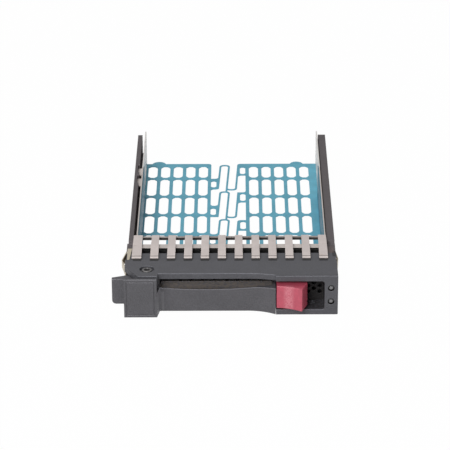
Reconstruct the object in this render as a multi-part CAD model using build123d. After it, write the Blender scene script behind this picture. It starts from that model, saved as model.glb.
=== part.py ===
from build123d import *
import os
from math import cos, pi, radians, sin, sqrt

# Hot swap caddy for a small form factor drive, in millimetres.
# X runs across the caddy from its mid-plane, Y from the bezel's front face to the rear, +Z up.
# The origin lies on the caddy's underside, below the middle of the bezel's front face.

# The drive that the caddy carries
DRIVE_WIDTH = 69.85
DRIVE_LENGTH = 100.2
DRIVE_REAR_SCREW = 14.0
DRIVE_FRONT_SCREW = 90.6
DRIVE_SCREW_HEIGHT = 3.0
DRIVE_SIDE_PLAY = 0.1
DRIVE_END_PLAY = 0.55

# Sheet stock
FILM = 0.3
STEEL = 0.45
SPRING_STEEL = 0.25
SCREEN_STEEL = 0.6

# Bezel
BEZEL_SIDE = 3.425
BEZEL_HEIGHT = 15.75
BEZEL_DEPTH = 20.7
BEZEL_FLOOR = 2.0
TOP_PLATE = 2.2
LEDGE_LENGTH = 6.7
LEDGE_DROP = 0.65
LIP_RECESS = 2.3
LIP_INSET = 12.3
LIP_STEP = 0.9
RAMP_LENGTH = 10.4
CORNER_CUT_X = 5.1
CORNER_CUT_Y = 8.3
EDGE_ROUND = 0.4

# Pocket for the button, at the right end of the bezel
POCKET_INSET = 4.9
POCKET_CORNER = 1.0
SCREEN_FRONT = 8.2
SCREEN_SEAT = 0.8
SCREEN_PLAY = 0.05
RIB = 1.2
RIB_REACH = 0.2
RIB_SETBACK = 2.0

# Hood behind the screen's cavity, under the frame's bar
HOOD_FLANGE_GAP = 0.475
HOOD_WALL = 1.2
HOOD_DROP = 2.65
HOOD_RISE_BEHIND = 4.2
HOOD_BEHIND_BAR = 0.5
HOOD_GAP = 0.1
HOOD_SHELF = 0.6
HOOD_VENT_LOW = 7.6

# Screen holes
HOLE_RADIUS = 0.9
HOLE_SIDES = 4
HOLE_PITCH_X = 2.15
HOLE_PITCH_Z = 2.4
HOLE_INSET = 1.55
HOLE_MARGIN = 2.0
HOLE_HEADROOM = 1.1
HOLE_LOW_Z = 5.4

# Release lever
LEVER_FACE = -2.05
BLOCK_WIDTH = 12.05
BLOCK_BACK = 2.4
SKIN_DROP = 0.4
SKIN_BACK = -1.1
FRAME_LINE = 0.85
FRAME_LINE_WIDTH = 0.3
FRAME_LINE_DEPTH = 0.15
LEVER_PLAY = 0.3
ARM_END_PLAY = 0.12
ARM_DROP = (6.1, 6.9, 5.2)
ARM_FACE = 3.1
ARM_END_FACE = 0.1
ARM_SCOOP = 1.0
ARM_RIM = 0.4
ARM_WALL = 1.3
ARM_CELLS = 6
BLOCK_SLANT = 0.9
JOINT_DEPTH = 0.5
NOTCH_ROUND = 1.4
HOOK_PROUD = 4.55
HOOK_FRONT = 2.6
HOOK_BACK = 5.8
HOOK_TIP_BACK = 4.3
HOOK_BOTTOM = 3.3
HOOK_ROOT = 3.4
HOOK_CORNER = 1.5
HOOK_CLEARANCE = 0.75
HUB_RADIUS = 4.8
LEVER_SWING = 45.0

# Lever pivot
PIVOT_INSET = 8.3
PIVOT_Y = 6.0
PIN_RADIUS = 1.6
PIN_HEAD_RADIUS = 1.9
PIN_HEAD = 0.9
PIN_BORE = 1.15
PIN_RUNNING_GAP = 0.05
PIN_SINK = 0.1
COUNTERBORE_RADIUS = 2.7
EAR_RADIUS = 3.3
EAR_TOP = 1.7
CLIP_RADIUS = 2.3
CLIP_THICKNESS = 0.4
CLIP_RECESS = 0.7
PIN_HOLLOW_DEPTH = 5.0
PIN_HEAD_BEVEL = 0.3
EAR_PLAY = 0.2
COIL_RADIUS = 2.75
COIL_WIRE = 0.25
COIL_TURNS = 3.5
COIL_GAP = 0.12
COIL_LEG = 2.1
COIL_STEPS = 10
BOSS_RADIUS = 2.3
BOSS_HEIGHT = 2.9
SPRING_LUG_X = (2.4, 3.6)
SPRING_LUG_DROP = 1.4
SPRING_LUG_REAR = 3.6

# Release button
BUTTON_INSET = 11.2
BUTTON_WIDTH = 11.3
BUTTON_UNDER = 1.3
BUTTON_OVER = 1.25
BUTTON_BACK = 7.0
BUTTON_LEFT_FACE = -1.4
BUTTON_RIDGE_INSET = 2.1
BUTTON_RIDGE_Y = -4.6
BUTTON_FLANK = 1.0
BUTTON_HOLLOW = 0.75
BUTTON_TRAVEL = 3.0
BUTTON_ROUND = 0.35
TONGUE_FRONT = 5.4
TONGUE_BACK = 6.8
TONGUE_DEPTH = 0.75
GUIDE_PLAY = 0.15
SPRING_SLOT_INSET = (1.3, 1.0)
SPRING_SLOT_HALF = 1.6
SPRING_SLOT_FRONT = 3.6
POST_WIDTH = 1.2
POST_PLAY = 0.2
POST_SINK = 0.4
BUTTON_SPRING_RADIUS = 1.05
BUTTON_SPRING_WIRE = 0.16
BUTTON_SPRING_TURNS = 6
BUTTON_SPRING_PLAY = 0.05

# Light pipes
PIPE_INSET = 2.52
PIPE_RADIUS = 0.65
PIPE_PLAY = 0.1
PIPE_DROP = 5.15
PIPE_LOWER_Z = 5.2
PIPE_RUN_PITCH = 2.2
PIPE_FRONT = 0.45
PIPE_RING_RADIUS = 1.1
PIPE_RING_DEPTH = 1.2
PIPE_BEND_BEHIND = (3.3, 11.3)
PIPE_BEND_ROOM = 1.5
PIPE_DOME = 0.39
PIPE_END_PROUD = 0.6

# Steel frame
FRAME_DROP = 0.41
WALL_PAST = 1.1
WALL_END_ROUND = 0.6
DECK_DROP = 0.75
DECK_BEHIND = 4.7
DECK_LENGTH = 9.65
BAR_LENGTH = 3.3
WINDOW_STRIP = 2.6
DECK_LIP = 1.1
FLANGE_WIDTH = 8.3
FLANGE_BOTTOM = 2.6
FLANGE_DROP = 3.35
REST_TAB_WIDTH = 0.9
REST_TAB_LENGTH = 4.0
DRIVE_HOLE_RADIUS = 1.7
RAIL_TAB_DROP = 1.9
RAIL_TAB_BACK = ((48.8, 41.8), (38.4, 31.8))
RAIL_TAB_LENGTH = 2.8

# Finger strip
FINGERS = 12
FINGER_SIDE = 0.807
FINGER_SHIFT = -0.25
FINGER_FRONT_WIDTH = 3.05
FINGER_REAR_WIDTH = 2.85
FINGER_TIP_BEHIND = 0.35
FINGER_FOLD_BEHIND = 1.3
FINGER_CREST_BEHIND = 3.3
FINGER_CREST_RISE = 0.95
FINGER_TIP_RISE = 0.6
FINGER_FOLD_RISE = 0.9
FINGER_ROOT_RISE = 0.45
ROOT_RISE = 0.2
LEFT_END_EXTRA = 0.55
RIGHT_END_EXTRA = 0.2
FINGER_WALL_GAP = 0.08

# Floor film
FILM_FLOOR = 0.55
FILM_BEHIND_DECK = 1.35
FILM_PROUD = 0.05
FILM_FLANGE_DROP = 1.0
CELL_BAR = 1.44
FILM_BORDER = 0.915
CELL_COLUMNS = 5
CELL_OVERRUN = 3.85
CELL_SHORT = 11.5
CELL_WEB = 1.52
CELL_ROWS = 6
CELL_CORNER = 1.2
FIRST_EDGE = 8.5
REAR_BORDER = 2.7
FRONT_BORDER = 2.3
FILM_CENTRE = -1.15
BAND_LEFT = (-8.5, -7.15)
BAND_RIGHT = (7.05, 8.45)
LOOP_PERIOD = 26.8
LOOP_WIDTH = 0.8
LOOP_LEAN = 0.0409
LOOP_TOP_BACK = 1.55
LOOP_BOTTOM_BACK = 26.15
LOOP_ROUND = 1.5
LOOP_LEFT_X = -4.45
LOOP_MID_X = -0.87
LOOP_RIGHT_X = 2.49
PAD_A = (25.5, 15.3)
PAD_A_HOLE = (-8.3, -6.1)
PAD_A_HOLE_BACK = (23.9, 17.6)
PAD_B = (11.6, 2.2)
PAD_B_HOLE = (3.6, 5.85)
PAD_B_HOLE_BACK = (10.5, 3.5)
PAD_HOLE_CORNER = 0.7
LEFT_EAR_INSET = (2.375, 7.925)
RIGHT_EAR_INSET = (10.725, 5.425)
EAR_SAGITTA = 2.2
PAD_OVERLAP = 0.2
FLANGE_SHORT = 33.0
FLANGE_HOLE = 2.5

# Side rails
RAIL_DROP = 1.04
RAIL_BOTTOM = 1.0
RAIL_NOSE_DROP = 1.1
RAIL_NOSE_BEHIND = 12.3
RAIL_NOSE_SLOPE = 1.0
RAIL_SHORT = 0.6
LEFT_RAIL_GAP = 1.125
LEFT_RAIL_THICK = 1.8
RIGHT_RAIL_GAP = 0.325
RIGHT_RAIL_THICK = 3.0
RAIL_GROOVE_ENDS = (27.3, 19.5)
RAIL_GROOVE_DROP = (5.7, 3.4)
RAIL_GROOVE_DEPTH = 0.5
RAIL_BOSS = 2.4
RAIL_PLAY = 0.1
TAB_PLAY_Y = 0.2
TAB_NOTCH = 0.7
RIVET_ENDS = (17.8, 7.5)
RIVET_UNDER_PIPE = 2.4
RIVET_RADIUS = 1.1
RIVET_HEAD_RADIUS = 1.9
RIVET_HEAD = 0.6
SHANK_SIDES = 8
SCREW_ACCESS_RADIUS = 3.1

# Side springs
SIDE_SPRING_DROP = (7.35, 3.25)
SIDE_SPRING_BEHIND = (-7.3, 11.3)
SPRING_ARM_LENGTH = 4.9
SPRING_ARM_DROP = (1.75, 0.65)
LEFT_APEX_PROUD = (1.65, 0.8)
RIGHT_APEX_PROUD = (0.9, 1.8)
LEAF_BEHIND = (-6.4, 8.6)
LEAF_LEAD = 0.6
LEAF_SLIT = 0.3
SPRING_NECK = 3.0
SPRING_TAB_BEHIND = (-6.3, 3.6)
SPRING_TAB_WIDTH = (0.9, 1.6)

# Bezel screws
SCREW_INSET = 7.7
SCREW_Z = 7.5
SCREW_RADIUS = 1.0
SCREW_HEAD_RADIUS = 2.1
SCREW_HEAD = 1.3
SCREW_LENGTH = 4.2
SCREW_PLAY = 0.05
SCREW_SHEET_PLAY = 0.2
SCREW_HEAD_BEVEL = 0.4
SCREW_CROSS = (1.3, 0.3)
SCREW_CROSS_DEPTH = 0.6
SCREW_BOSS = 3.0
SCREW_BOSS_DEPTH = 6.5

# Widths worked out from the drive
BAY_HALF = DRIVE_WIDTH / 2 + DRIVE_SIDE_PLAY
WALL_IN = BAY_HALF + FILM
WALL_OUT = WALL_IN + STEEL
HALF = WALL_OUT + BEZEL_SIDE
LEFT_RAIL_INNER = WALL_OUT + LEFT_RAIL_GAP
LEFT_RAIL_OUTER = LEFT_RAIL_INNER + LEFT_RAIL_THICK
RIGHT_RAIL_INNER = WALL_OUT + RIGHT_RAIL_GAP
RIGHT_RAIL_OUTER = RIGHT_RAIL_INNER + RIGHT_RAIL_THICK
RAIL_TAB_REACH = WALL_OUT + RAIL_TAB_LENGTH
SCREW_X = HALF - SCREW_INSET
FLANGE_INNER = WALL_OUT - FLANGE_WIDTH
HOOD_HALF = FLANGE_INNER - HOOD_FLANGE_GAP
PIPE_X = HALF - PIPE_INSET
FINGER_PITCH = 2 * (WALL_IN - FINGER_SIDE) / (FINGERS - 1)
FINGER_X = [(i - (FINGERS - 1) / 2) * FINGER_PITCH + FINGER_SHIFT for i in range(FINGERS)]
CELL_PITCH = (WALL_IN + FILM_CENTRE - FILM_BORDER - FIRST_EDGE + CELL_BAR) / CELL_COLUMNS
CELL_WIDTH = CELL_PITCH - CELL_BAR
FIRST_COLUMN = FIRST_EDGE + CELL_WIDTH / 2
LEFT_EAR = tuple(inset - WALL_IN for inset in LEFT_EAR_INSET)
RIGHT_EAR = tuple(WALL_IN - inset for inset in RIGHT_EAR_INSET)
HOOD_TOP = BEZEL_HEIGHT - HOOD_DROP

# Heights worked out from the bezel
CEILING = BEZEL_HEIGHT - TOP_PLATE
LEDGE_TOP = BEZEL_HEIGHT - LEDGE_DROP
FRAME_TOP = BEZEL_HEIGHT - FRAME_DROP
DECK_TOP = BEZEL_HEIGHT - DECK_DROP
FLANGE_TOP = BEZEL_HEIGHT - FLANGE_DROP
FLANGE_HEIGHT = FRAME_TOP - FILM_FLANGE_DROP
RAIL_TOP = FRAME_TOP - RAIL_DROP
RAIL_NOSE_TOP = RAIL_TOP - RAIL_NOSE_DROP
RAIL_TAB_Z = RAIL_TOP - RAIL_TAB_DROP
RAIL_GROOVE_Z = tuple(RAIL_TOP - drop for drop in RAIL_GROOVE_DROP)
FILM_TOP = FILM_FLOOR + FILM
HUB_TOP = CEILING - LEVER_PLAY
HUB_BOTTOM = EAR_TOP + EAR_PLAY
SPRING_BAY_TOP = HUB_BOTTOM + BOSS_HEIGHT
SKIN_TOP = BEZEL_HEIGHT - SKIN_DROP
ARM_LEFT_TOP, ARM_MID_TOP, ARM_RIGHT_TOP = (BEZEL_HEIGHT - drop for drop in ARM_DROP)
BUTTON_BOTTOM = BEZEL_FLOOR + BUTTON_UNDER
BUTTON_TOP = CEILING - BUTTON_OVER
BUTTON_MIDDLE = (BUTTON_BOTTOM + BUTTON_TOP) / 2
SPRING_SLOT_Z = (BUTTON_MIDDLE - SPRING_SLOT_HALF, BUTTON_MIDDLE + SPRING_SLOT_HALF)
PIPE_UPPER_Z = BEZEL_HEIGHT - PIPE_DROP
PIPE_LOWER_RUN_Z = PIPE_UPPER_Z - PIPE_RUN_PITCH
RIVET_Z = PIPE_LOWER_RUN_Z - RIVET_UNDER_PIPE
SIDE_SPRING_Z = tuple(BEZEL_HEIGHT - drop for drop in SIDE_SPRING_DROP)

# Places along the caddy, worked out from the bezel's depth and the drive's length
RAIL_FRONT = BEZEL_DEPTH
LEDGE_START = BEZEL_DEPTH - LEDGE_LENGTH
SCREEN_BACK = SCREEN_FRONT + SCREEN_STEEL
ARM_BACK = SCREEN_FRONT - LEVER_PLAY
DECK_FRONT = BEZEL_DEPTH + DECK_BEHIND
DECK_REAR = DECK_FRONT + DECK_LENGTH
BAR_REAR = DECK_FRONT + BAR_LENGTH
HOOD_REAR = BAR_REAR + HOOD_BEHIND_BAR
FINGER_CREST = BEZEL_DEPTH + FINGER_CREST_BEHIND
SIDE_SPRING_PLATE = tuple(BEZEL_DEPTH + behind for behind in SIDE_SPRING_BEHIND)
LEAF_FRONT, LEAF_REAR = (BEZEL_DEPTH + behind for behind in LEAF_BEHIND)
PIPE_BEND = tuple(BEZEL_DEPTH + behind for behind in PIPE_BEND_BEHIND)
RAIL_NOSE_REAR = BEZEL_DEPTH + RAIL_NOSE_BEHIND
BAY_FRONT = DECK_REAR + SPRING_STEEL + DRIVE_END_PLAY
DRIVE_REAR = BAY_FRONT + DRIVE_LENGTH
DRIVE_HOLES_Y = (DRIVE_REAR - DRIVE_FRONT_SCREW, DRIVE_REAR - DRIVE_REAR_SCREW)
DRIVE_HOLES_Z = FILM_TOP + DRIVE_SCREW_HEIGHT
FILM_FRONT = DECK_REAR + FILM_BEHIND_DECK
FILM_REAR = DRIVE_REAR + FILM_PROUD
TIE_REAR = FILM_FRONT
WALL_REAR = FILM_REAR + WALL_PAST
RAIL_REAR = FILM_REAR - RAIL_SHORT
PIPE_REAR = RAIL_REAR + PIPE_END_PROUD
RAIL_GROOVE = (BEZEL_DEPTH + RAIL_GROOVE_ENDS[0], RAIL_REAR - RAIL_GROOVE_ENDS[1])
RAIL_TABS = [(FILM_REAR - front, FILM_REAR - rear) for front, rear in RAIL_TAB_BACK]
RIVET_FRONT = BEZEL_DEPTH + RIVET_ENDS[0]
RIVET_REAR = RAIL_REAR - RIVET_ENDS[1]
RIVET_Y = (RIVET_FRONT, (RIVET_FRONT + RIVET_REAR) / 2, RIVET_REAR)
CELLS_LENGTH = FILM_REAR - REAR_BORDER - CELL_SHORT - FILM_FRONT + CELL_OVERRUN
CELL_LENGTH = CELLS_LENGTH / (CELL_ROWS - 1) - CELL_WEB
LOOP_TOP = FILM_REAR - LOOP_TOP_BACK
LOOP_BOTTOM = FILM_REAR - LOOP_BOTTOM_BACK
LOOP_COUNT = int((FILM_REAR - FILM_FRONT) / LOOP_PERIOD) + 1

# Places in the bezel, from its two ends
LEVER_LEFT = -HALF
BLOCK_RIGHT = LEVER_LEFT + BLOCK_WIDTH
LIP_LEFT = LIP_INSET - HALF
PIVOT_X = PIVOT_INSET - HALF
HOOK_LEFT = -HALF - HOOK_PROUD
HOOK_REACH = PIVOT_X - HOOK_LEFT
HOOK_SWEEP = sqrt(HOOK_REACH**2 + (PIVOT_Y - HOOK_BACK) ** 2)
CAVITY_REAR = PIVOT_Y + HOOK_SWEEP * sin(radians(LEVER_SWING)) + HOOK_CLEARANCE
HUB_CAVITY_RIGHT = PIVOT_X + HUB_RADIUS + SCREEN_SEAT
SCREEN_LEFT = HUB_CAVITY_RIGHT + SCREEN_SEAT / 2
POCKET_RIGHT = HALF - POCKET_INSET
BUTTON_RIGHT = HALF - BUTTON_INSET
BUTTON_LEFT = BUTTON_RIGHT - BUTTON_WIDTH
BUTTON_RIDGE_X = BUTTON_RIGHT - BUTTON_RIDGE_INSET
ARM_RIGHT = BUTTON_LEFT - LEVER_PLAY
RAMP_START = ARM_RIGHT - RAMP_LENGTH
SPRING_SLOT = (BUTTON_LEFT + SPRING_SLOT_INSET[0], BUTTON_RIGHT - SPRING_SLOT_INSET[1])
POST_RIGHT = SPRING_SLOT[1] - POST_PLAY
POST_LEFT = POST_RIGHT - POST_WIDTH
RIB_X = (-RIB_REACH * HALF, RIB_REACH * HALF, (POST_LEFT + POST_RIGHT) / 2)
HOLE_FIRST_X = POCKET_RIGHT - HOLE_INSET
HOLE_COLUMNS = int((HOLE_FIRST_X - SCREEN_LEFT - HOLE_MARGIN) / HOLE_PITCH_X) + 1


def block(x, y, z):
    """Rectangular solid between the low and high ends given for X, Y and Z."""
    middle = Pos((x[0] + x[1]) / 2, (y[0] + y[1]) / 2, (z[0] + z[1]) / 2)
    return middle * Box(abs(x[1] - x[0]), abs(y[1] - y[0]), abs(z[1] - z[0]))


def rod_x(radius, x, y, z):
    """Cylinder along X between the two ends x, with its axis at (y, z)."""
    return Pos((x[0] + x[1]) / 2, y, z) * Rot(0, 90, 0) * Cylinder(radius, abs(x[1] - x[0]))


def rod_y(radius, x, y, z):
    """Cylinder along Y between the two ends y, with its axis at (x, z)."""
    return Pos(x, (y[0] + y[1]) / 2, z) * Rot(90, 0, 0) * Cylinder(radius, abs(y[1] - y[0]))


def rod_z(radius, x, y, z):
    """Cylinder along Z between the two ends z, with its axis at (x, y)."""
    return Pos(x, y, (z[0] + z[1]) / 2) * Cylinder(radius, abs(z[1] - z[0]))


def shank_x(radius, x, y, z):
    """Hidden shank along X, with few sides, between the two ends x."""
    section = Plane.YZ.offset(x[0]) * Pos(y, z) * RegularPolygon(radius, SHANK_SIDES)
    return extrude(section, x[1] - x[0])


def plan_prism(face, z):
    """Solid with the plan outline face, between the two heights z."""
    return extrude(Pos(0, 0, z[0]) * face, z[1] - z[0])


def polygon(*points):
    """Flat face through the plan points."""
    return make_face(Polyline(*points, close=True))


def side_prism(points, x):
    """Solid whose outline in (Y, Z) is points, between the two ends x."""
    outline = Plane.YZ.offset(x[0]) * polygon(*points)
    return extrude(outline, x[1] - x[0])


def swept_front(left, right, face_y, flush_y, front):
    """Plan area in front of a face that curves forward to flush_y at its right end."""
    straight = Line((left, face_y), (RAMP_START, face_y))
    ramp = TangentArc((RAMP_START, face_y), (right, flush_y), tangent=(1, 0))
    rest = Polyline((right, flush_y), (right, front), (left, front), (left, face_y))
    return make_face([straight, ramp, rest])


def pivot_rod(radius, z):
    """Cylinder on the lever's pivot axis."""
    return rod_z(radius, PIVOT_X, PIVOT_Y, z)


def bezel_housing():
    """Moulded front: top plate, ledge under the fingers, button pocket, pivot ear and rear cavity."""
    body = block((-HALF, HALF), (0, BEZEL_DEPTH), (0, BEZEL_HEIGHT))
    body = fillet(body.edges().filter_by(Axis.Y), EDGE_ROUND)
    ledge = (LEDGE_START, BEZEL_DEPTH)
    body -= block((-HALF, HALF), ledge, (LEDGE_TOP, BEZEL_HEIGHT))
    # Front left corner, cut at a slant for the lever's skin to swing past
    corner = polygon((-HALF, 0), (-HALF, CORNER_CUT_Y), (CORNER_CUT_X - HALF, 0))
    body -= plan_prism(corner, (0, BEZEL_HEIGHT))
    # Front lip, set back above the lever's arm
    lip = swept_front(LIP_LEFT, ARM_RIGHT, LIP_RECESS, LIP_STEP, -1)
    body -= plan_prism(lip, (0, BEZEL_HEIGHT))
    # Room for the lever's block, hub and hook, open to the left
    body -= block((-HALF, HUB_CAVITY_RIGHT), (0, CAVITY_REAR), (EAR_TOP, CEILING))
    under_block = block((-HALF, BLOCK_RIGHT), (0, PIVOT_Y + HUB_RADIUS), (0, EAR_TOP))
    ear = pivot_rod(EAR_RADIUS, (0, EAR_TOP))
    ear_x = (PIVOT_X - EAR_RADIUS, PIVOT_X + EAR_RADIUS)
    ear += block(ear_x, (PIVOT_Y, CAVITY_REAR), (0, EAR_TOP))
    body -= under_block - ear
    # Room for the arm and the button, back to the screen
    arm_end = ARM_RIGHT + ARM_END_PLAY
    body -= block((BLOCK_RIGHT, arm_end), (0, SCREEN_FRONT), (0, CEILING))
    body -= block((BLOCK_RIGHT, BUTTON_LEFT), (0, SCREEN_BACK), (BEZEL_FLOOR, CEILING))
    pocket = block((BUTTON_LEFT, POCKET_RIGHT), (0, SCREEN_BACK), (BEZEL_FLOOR, CEILING))
    right_edges = pocket.edges().filter_by(Axis.Y).sort_by(Axis.X)[-2:]
    body -= fillet(right_edges, POCKET_CORNER)
    groove_x = (BUTTON_LEFT, BUTTON_RIGHT + BUTTON_TRAVEL)
    groove_y = (TONGUE_FRONT - GUIDE_PLAY, TONGUE_BACK + GUIDE_PLAY)
    groove_reach = TONGUE_DEPTH + GUIDE_PLAY
    body -= block(groove_x, groove_y, (BEZEL_FLOOR - groove_reach, CEILING + groove_reach))
    # Cavity behind the screen, open to the rear, with ribs under the top plate
    cavity_x = (SCREEN_LEFT + SCREEN_SEAT, POCKET_RIGHT - SCREEN_SEAT)
    cavity_z = (BEZEL_FLOOR + SCREEN_SEAT, CEILING - SCREEN_SEAT)
    cavity = block(cavity_x, (SCREEN_BACK, BEZEL_DEPTH), cavity_z)
    rib_y = (SCREEN_BACK, BEZEL_DEPTH - RIB_SETBACK)
    for x in RIB_X:
        cavity -= block((x - RIB / 2, x + RIB / 2), rib_y, cavity_z)
    boss_z = (SCREW_Z - SCREW_BOSS, SCREW_Z + SCREW_BOSS)
    boss_y = (BEZEL_DEPTH - SCREW_BOSS_DEPTH, BEZEL_DEPTH)
    cavity -= block((SCREW_X - SCREW_BOSS, cavity_x[1]), boss_y, boss_z)
    body -= cavity
    body += rear_hood()
    # Post that the button's spring pushes against
    post_y = (SPRING_SLOT_FRONT + POST_PLAY, SCREEN_BACK + POST_SINK)
    post_z = (SPRING_SLOT_Z[0] + POST_PLAY, SPRING_SLOT_Z[1] - POST_PLAY)
    body += block((POST_LEFT, POST_RIGHT), post_y, post_z)
    # Pivot holes and seats
    body -= pivot_rod(PIN_RADIUS, (0, BEZEL_HEIGHT))
    body -= pivot_rod(COUNTERBORE_RADIUS, (BEZEL_HEIGHT - PIN_HEAD - PIN_SINK, BEZEL_HEIGHT))
    body -= pivot_rod(COUNTERBORE_RADIUS, (0, CLIP_RECESS))
    # Bores for the light pipes, with a wider mouth at the front
    for z in (PIPE_UPPER_Z, PIPE_LOWER_Z):
        body -= rod_y(PIPE_RADIUS + PIPE_PLAY, PIPE_X, (0, BEZEL_DEPTH), z)
        body -= rod_y(PIPE_RING_RADIUS, PIPE_X, (0, PIPE_RING_DEPTH), z)
    # Screw holes in the rear face, and the flush seats of the side springs
    for side in (-1, 1):
        reach = (BEZEL_DEPTH - SCREW_LENGTH, BEZEL_DEPTH)
        body -= rod_y(SCREW_RADIUS + SCREW_PLAY, side * SCREW_X, reach, SCREW_Z)
        body -= side_spring_seat(side)
    return body


def rear_hood():
    """Hood under the frame's bar for the air behind the screen, with a shelf out to the walls."""
    y = (BEZEL_DEPTH, HOOD_REAR)
    inner = HOOD_HALF - HOOD_WALL
    shelf_half = WALL_IN - HOOD_GAP
    hood = block((-HOOD_HALF, HOOD_HALF), y, (FILM_FLOOR + HOOD_GAP, HOOD_TOP))
    hood += block((-shelf_half, shelf_half), y, (HOOD_TOP - HOOD_SHELF, HOOD_TOP))
    rise_z = (HOOD_TOP, DECK_TOP - STEEL - HOOD_GAP)
    hood += block((-shelf_half, shelf_half), (BEZEL_DEPTH + HOOD_RISE_BEHIND, HOOD_REAR), rise_z)
    hood -= block((-inner, inner), (BEZEL_DEPTH, HOOD_REAR - HOOD_WALL), (0, HOOD_TOP - HOOD_WALL))
    return hood - block((-inner, inner), y, (HOOD_VENT_LOW, HOOD_TOP - HOOD_WALL))


def vent_screen():
    """Perforated screen across the bezel, with rows of round holes set half a pitch apart."""
    x = (SCREEN_LEFT + SCREEN_PLAY, POCKET_RIGHT - SCREEN_PLAY)
    z = (BEZEL_FLOOR + SCREEN_PLAY, CEILING - SCREEN_PLAY)
    plate = block(x, (SCREEN_FRONT, SCREEN_BACK), z)
    right_edges = plate.edges().filter_by(Axis.Y).sort_by(Axis.X)[-2:]
    plate = fillet(right_edges, POCKET_CORNER)
    holes = []
    for column in range(HOLE_COLUMNS):
        low = HOLE_LOW_Z + (column % 2) * HOLE_PITCH_Z / 2
        rows = int((CEILING - HOLE_HEADROOM - low) / HOLE_PITCH_Z) + 1
        for row in range(rows):
            spot = (HOLE_FIRST_X - column * HOLE_PITCH_X, low + row * HOLE_PITCH_Z)
            if post_clear(spot[0]):
                holes.append(Pos(*spot) * RegularPolygon(HOLE_RADIUS, HOLE_SIDES))
    pattern = Plane.XZ.offset(-SCREEN_BACK - 1) * Sketch(children=holes)
    plate -= extrude(pattern, SCREEN_STEEL + 2)
    post_x = (POST_LEFT - SCREEN_PLAY, POST_RIGHT + SCREEN_PLAY)
    post_z = (SPRING_SLOT_Z[0] + SCREEN_PLAY, SPRING_SLOT_Z[1] - SCREEN_PLAY)
    return plate - block(post_x, (SCREEN_FRONT, SCREEN_BACK), post_z)


def post_clear(x):
    """True where a column of holes at x misses the button spring's post."""
    return abs(x - (POST_LEFT + POST_RIGHT) / 2) > POST_WIDTH / 2 + HOLE_RADIUS + POST_PLAY


def release_lever():
    """Lever: front block and skin, hub round the pin, hook at the left, long hollow arm at the right."""
    lever_x = (LEVER_LEFT, BLOCK_RIGHT)
    lever = block(lever_x, (LEVER_FACE, BLOCK_BACK), (0, HUB_TOP))
    lever += block(lever_x, (LEVER_FACE, SKIN_BACK), (0, SKIN_TOP))
    # Slanted side of the block, down to the arm's face
    slant_foot = (BLOCK_RIGHT + BLOCK_SLANT, ARM_FACE)
    slant = polygon((BLOCK_RIGHT, LEVER_FACE), (BLOCK_RIGHT, ARM_FACE), slant_foot)
    lever += plan_prism(slant, (0, ARM_LEFT_TOP))
    # Hub and its web to the block
    lever += pivot_rod(HUB_RADIUS, (SPRING_BAY_TOP, HUB_TOP))
    web_front = BLOCK_BACK - JOINT_DEPTH
    lever += block(lever_x, (web_front, PIVOT_Y), (SPRING_BAY_TOP, HUB_TOP))
    lever += pivot_rod(BOSS_RADIUS, (HUB_BOTTOM, SPRING_BAY_TOP))
    lug_z = (SPRING_BAY_TOP - SPRING_LUG_DROP, SPRING_BAY_TOP)
    lug_x = tuple(PIVOT_X + x for x in SPRING_LUG_X)
    lever += block(lug_x, (web_front, SPRING_LUG_REAR), lug_z)
    # Hook that bears on the cage
    root = LEVER_LEFT + HOOK_ROOT
    rear = ((root, HOOK_BACK), (LEVER_LEFT, HOOK_BACK), (HOOK_LEFT, HOOK_TIP_BACK))
    hook = plan_prism(polygon((HOOK_LEFT, HOOK_FRONT), (root, HOOK_FRONT), *rear), (HOOK_BOTTOM, HUB_TOP))
    corner = hook.edges().filter_by(Axis.Y).sort_by(Axis.X)[:2].sort_by(Axis.Z)[0]
    hook = fillet(corner, HOOK_CORNER)
    lever += hook + block((LEVER_LEFT, root), (web_front, HOOK_BACK), (HOOK_BOTTOM, HUB_TOP))
    lever += arm()
    # Shallow line round the block's face
    line = frame_line(FRAME_LINE) - frame_line(FRAME_LINE + FRAME_LINE_WIDTH)
    lever -= line
    lever -= pivot_rod(PIN_RADIUS + PIN_RUNNING_GAP, (HUB_BOTTOM, HUB_TOP))
    return lever


def frame_line(inset):
    """Shallow plate as large as the block's face, less inset on every side."""
    x = (LEVER_LEFT + inset, BLOCK_RIGHT - inset)
    return block(x, (LEVER_FACE, LEVER_FACE + FRAME_LINE_DEPTH), (inset, SKIN_TOP - inset))


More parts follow.
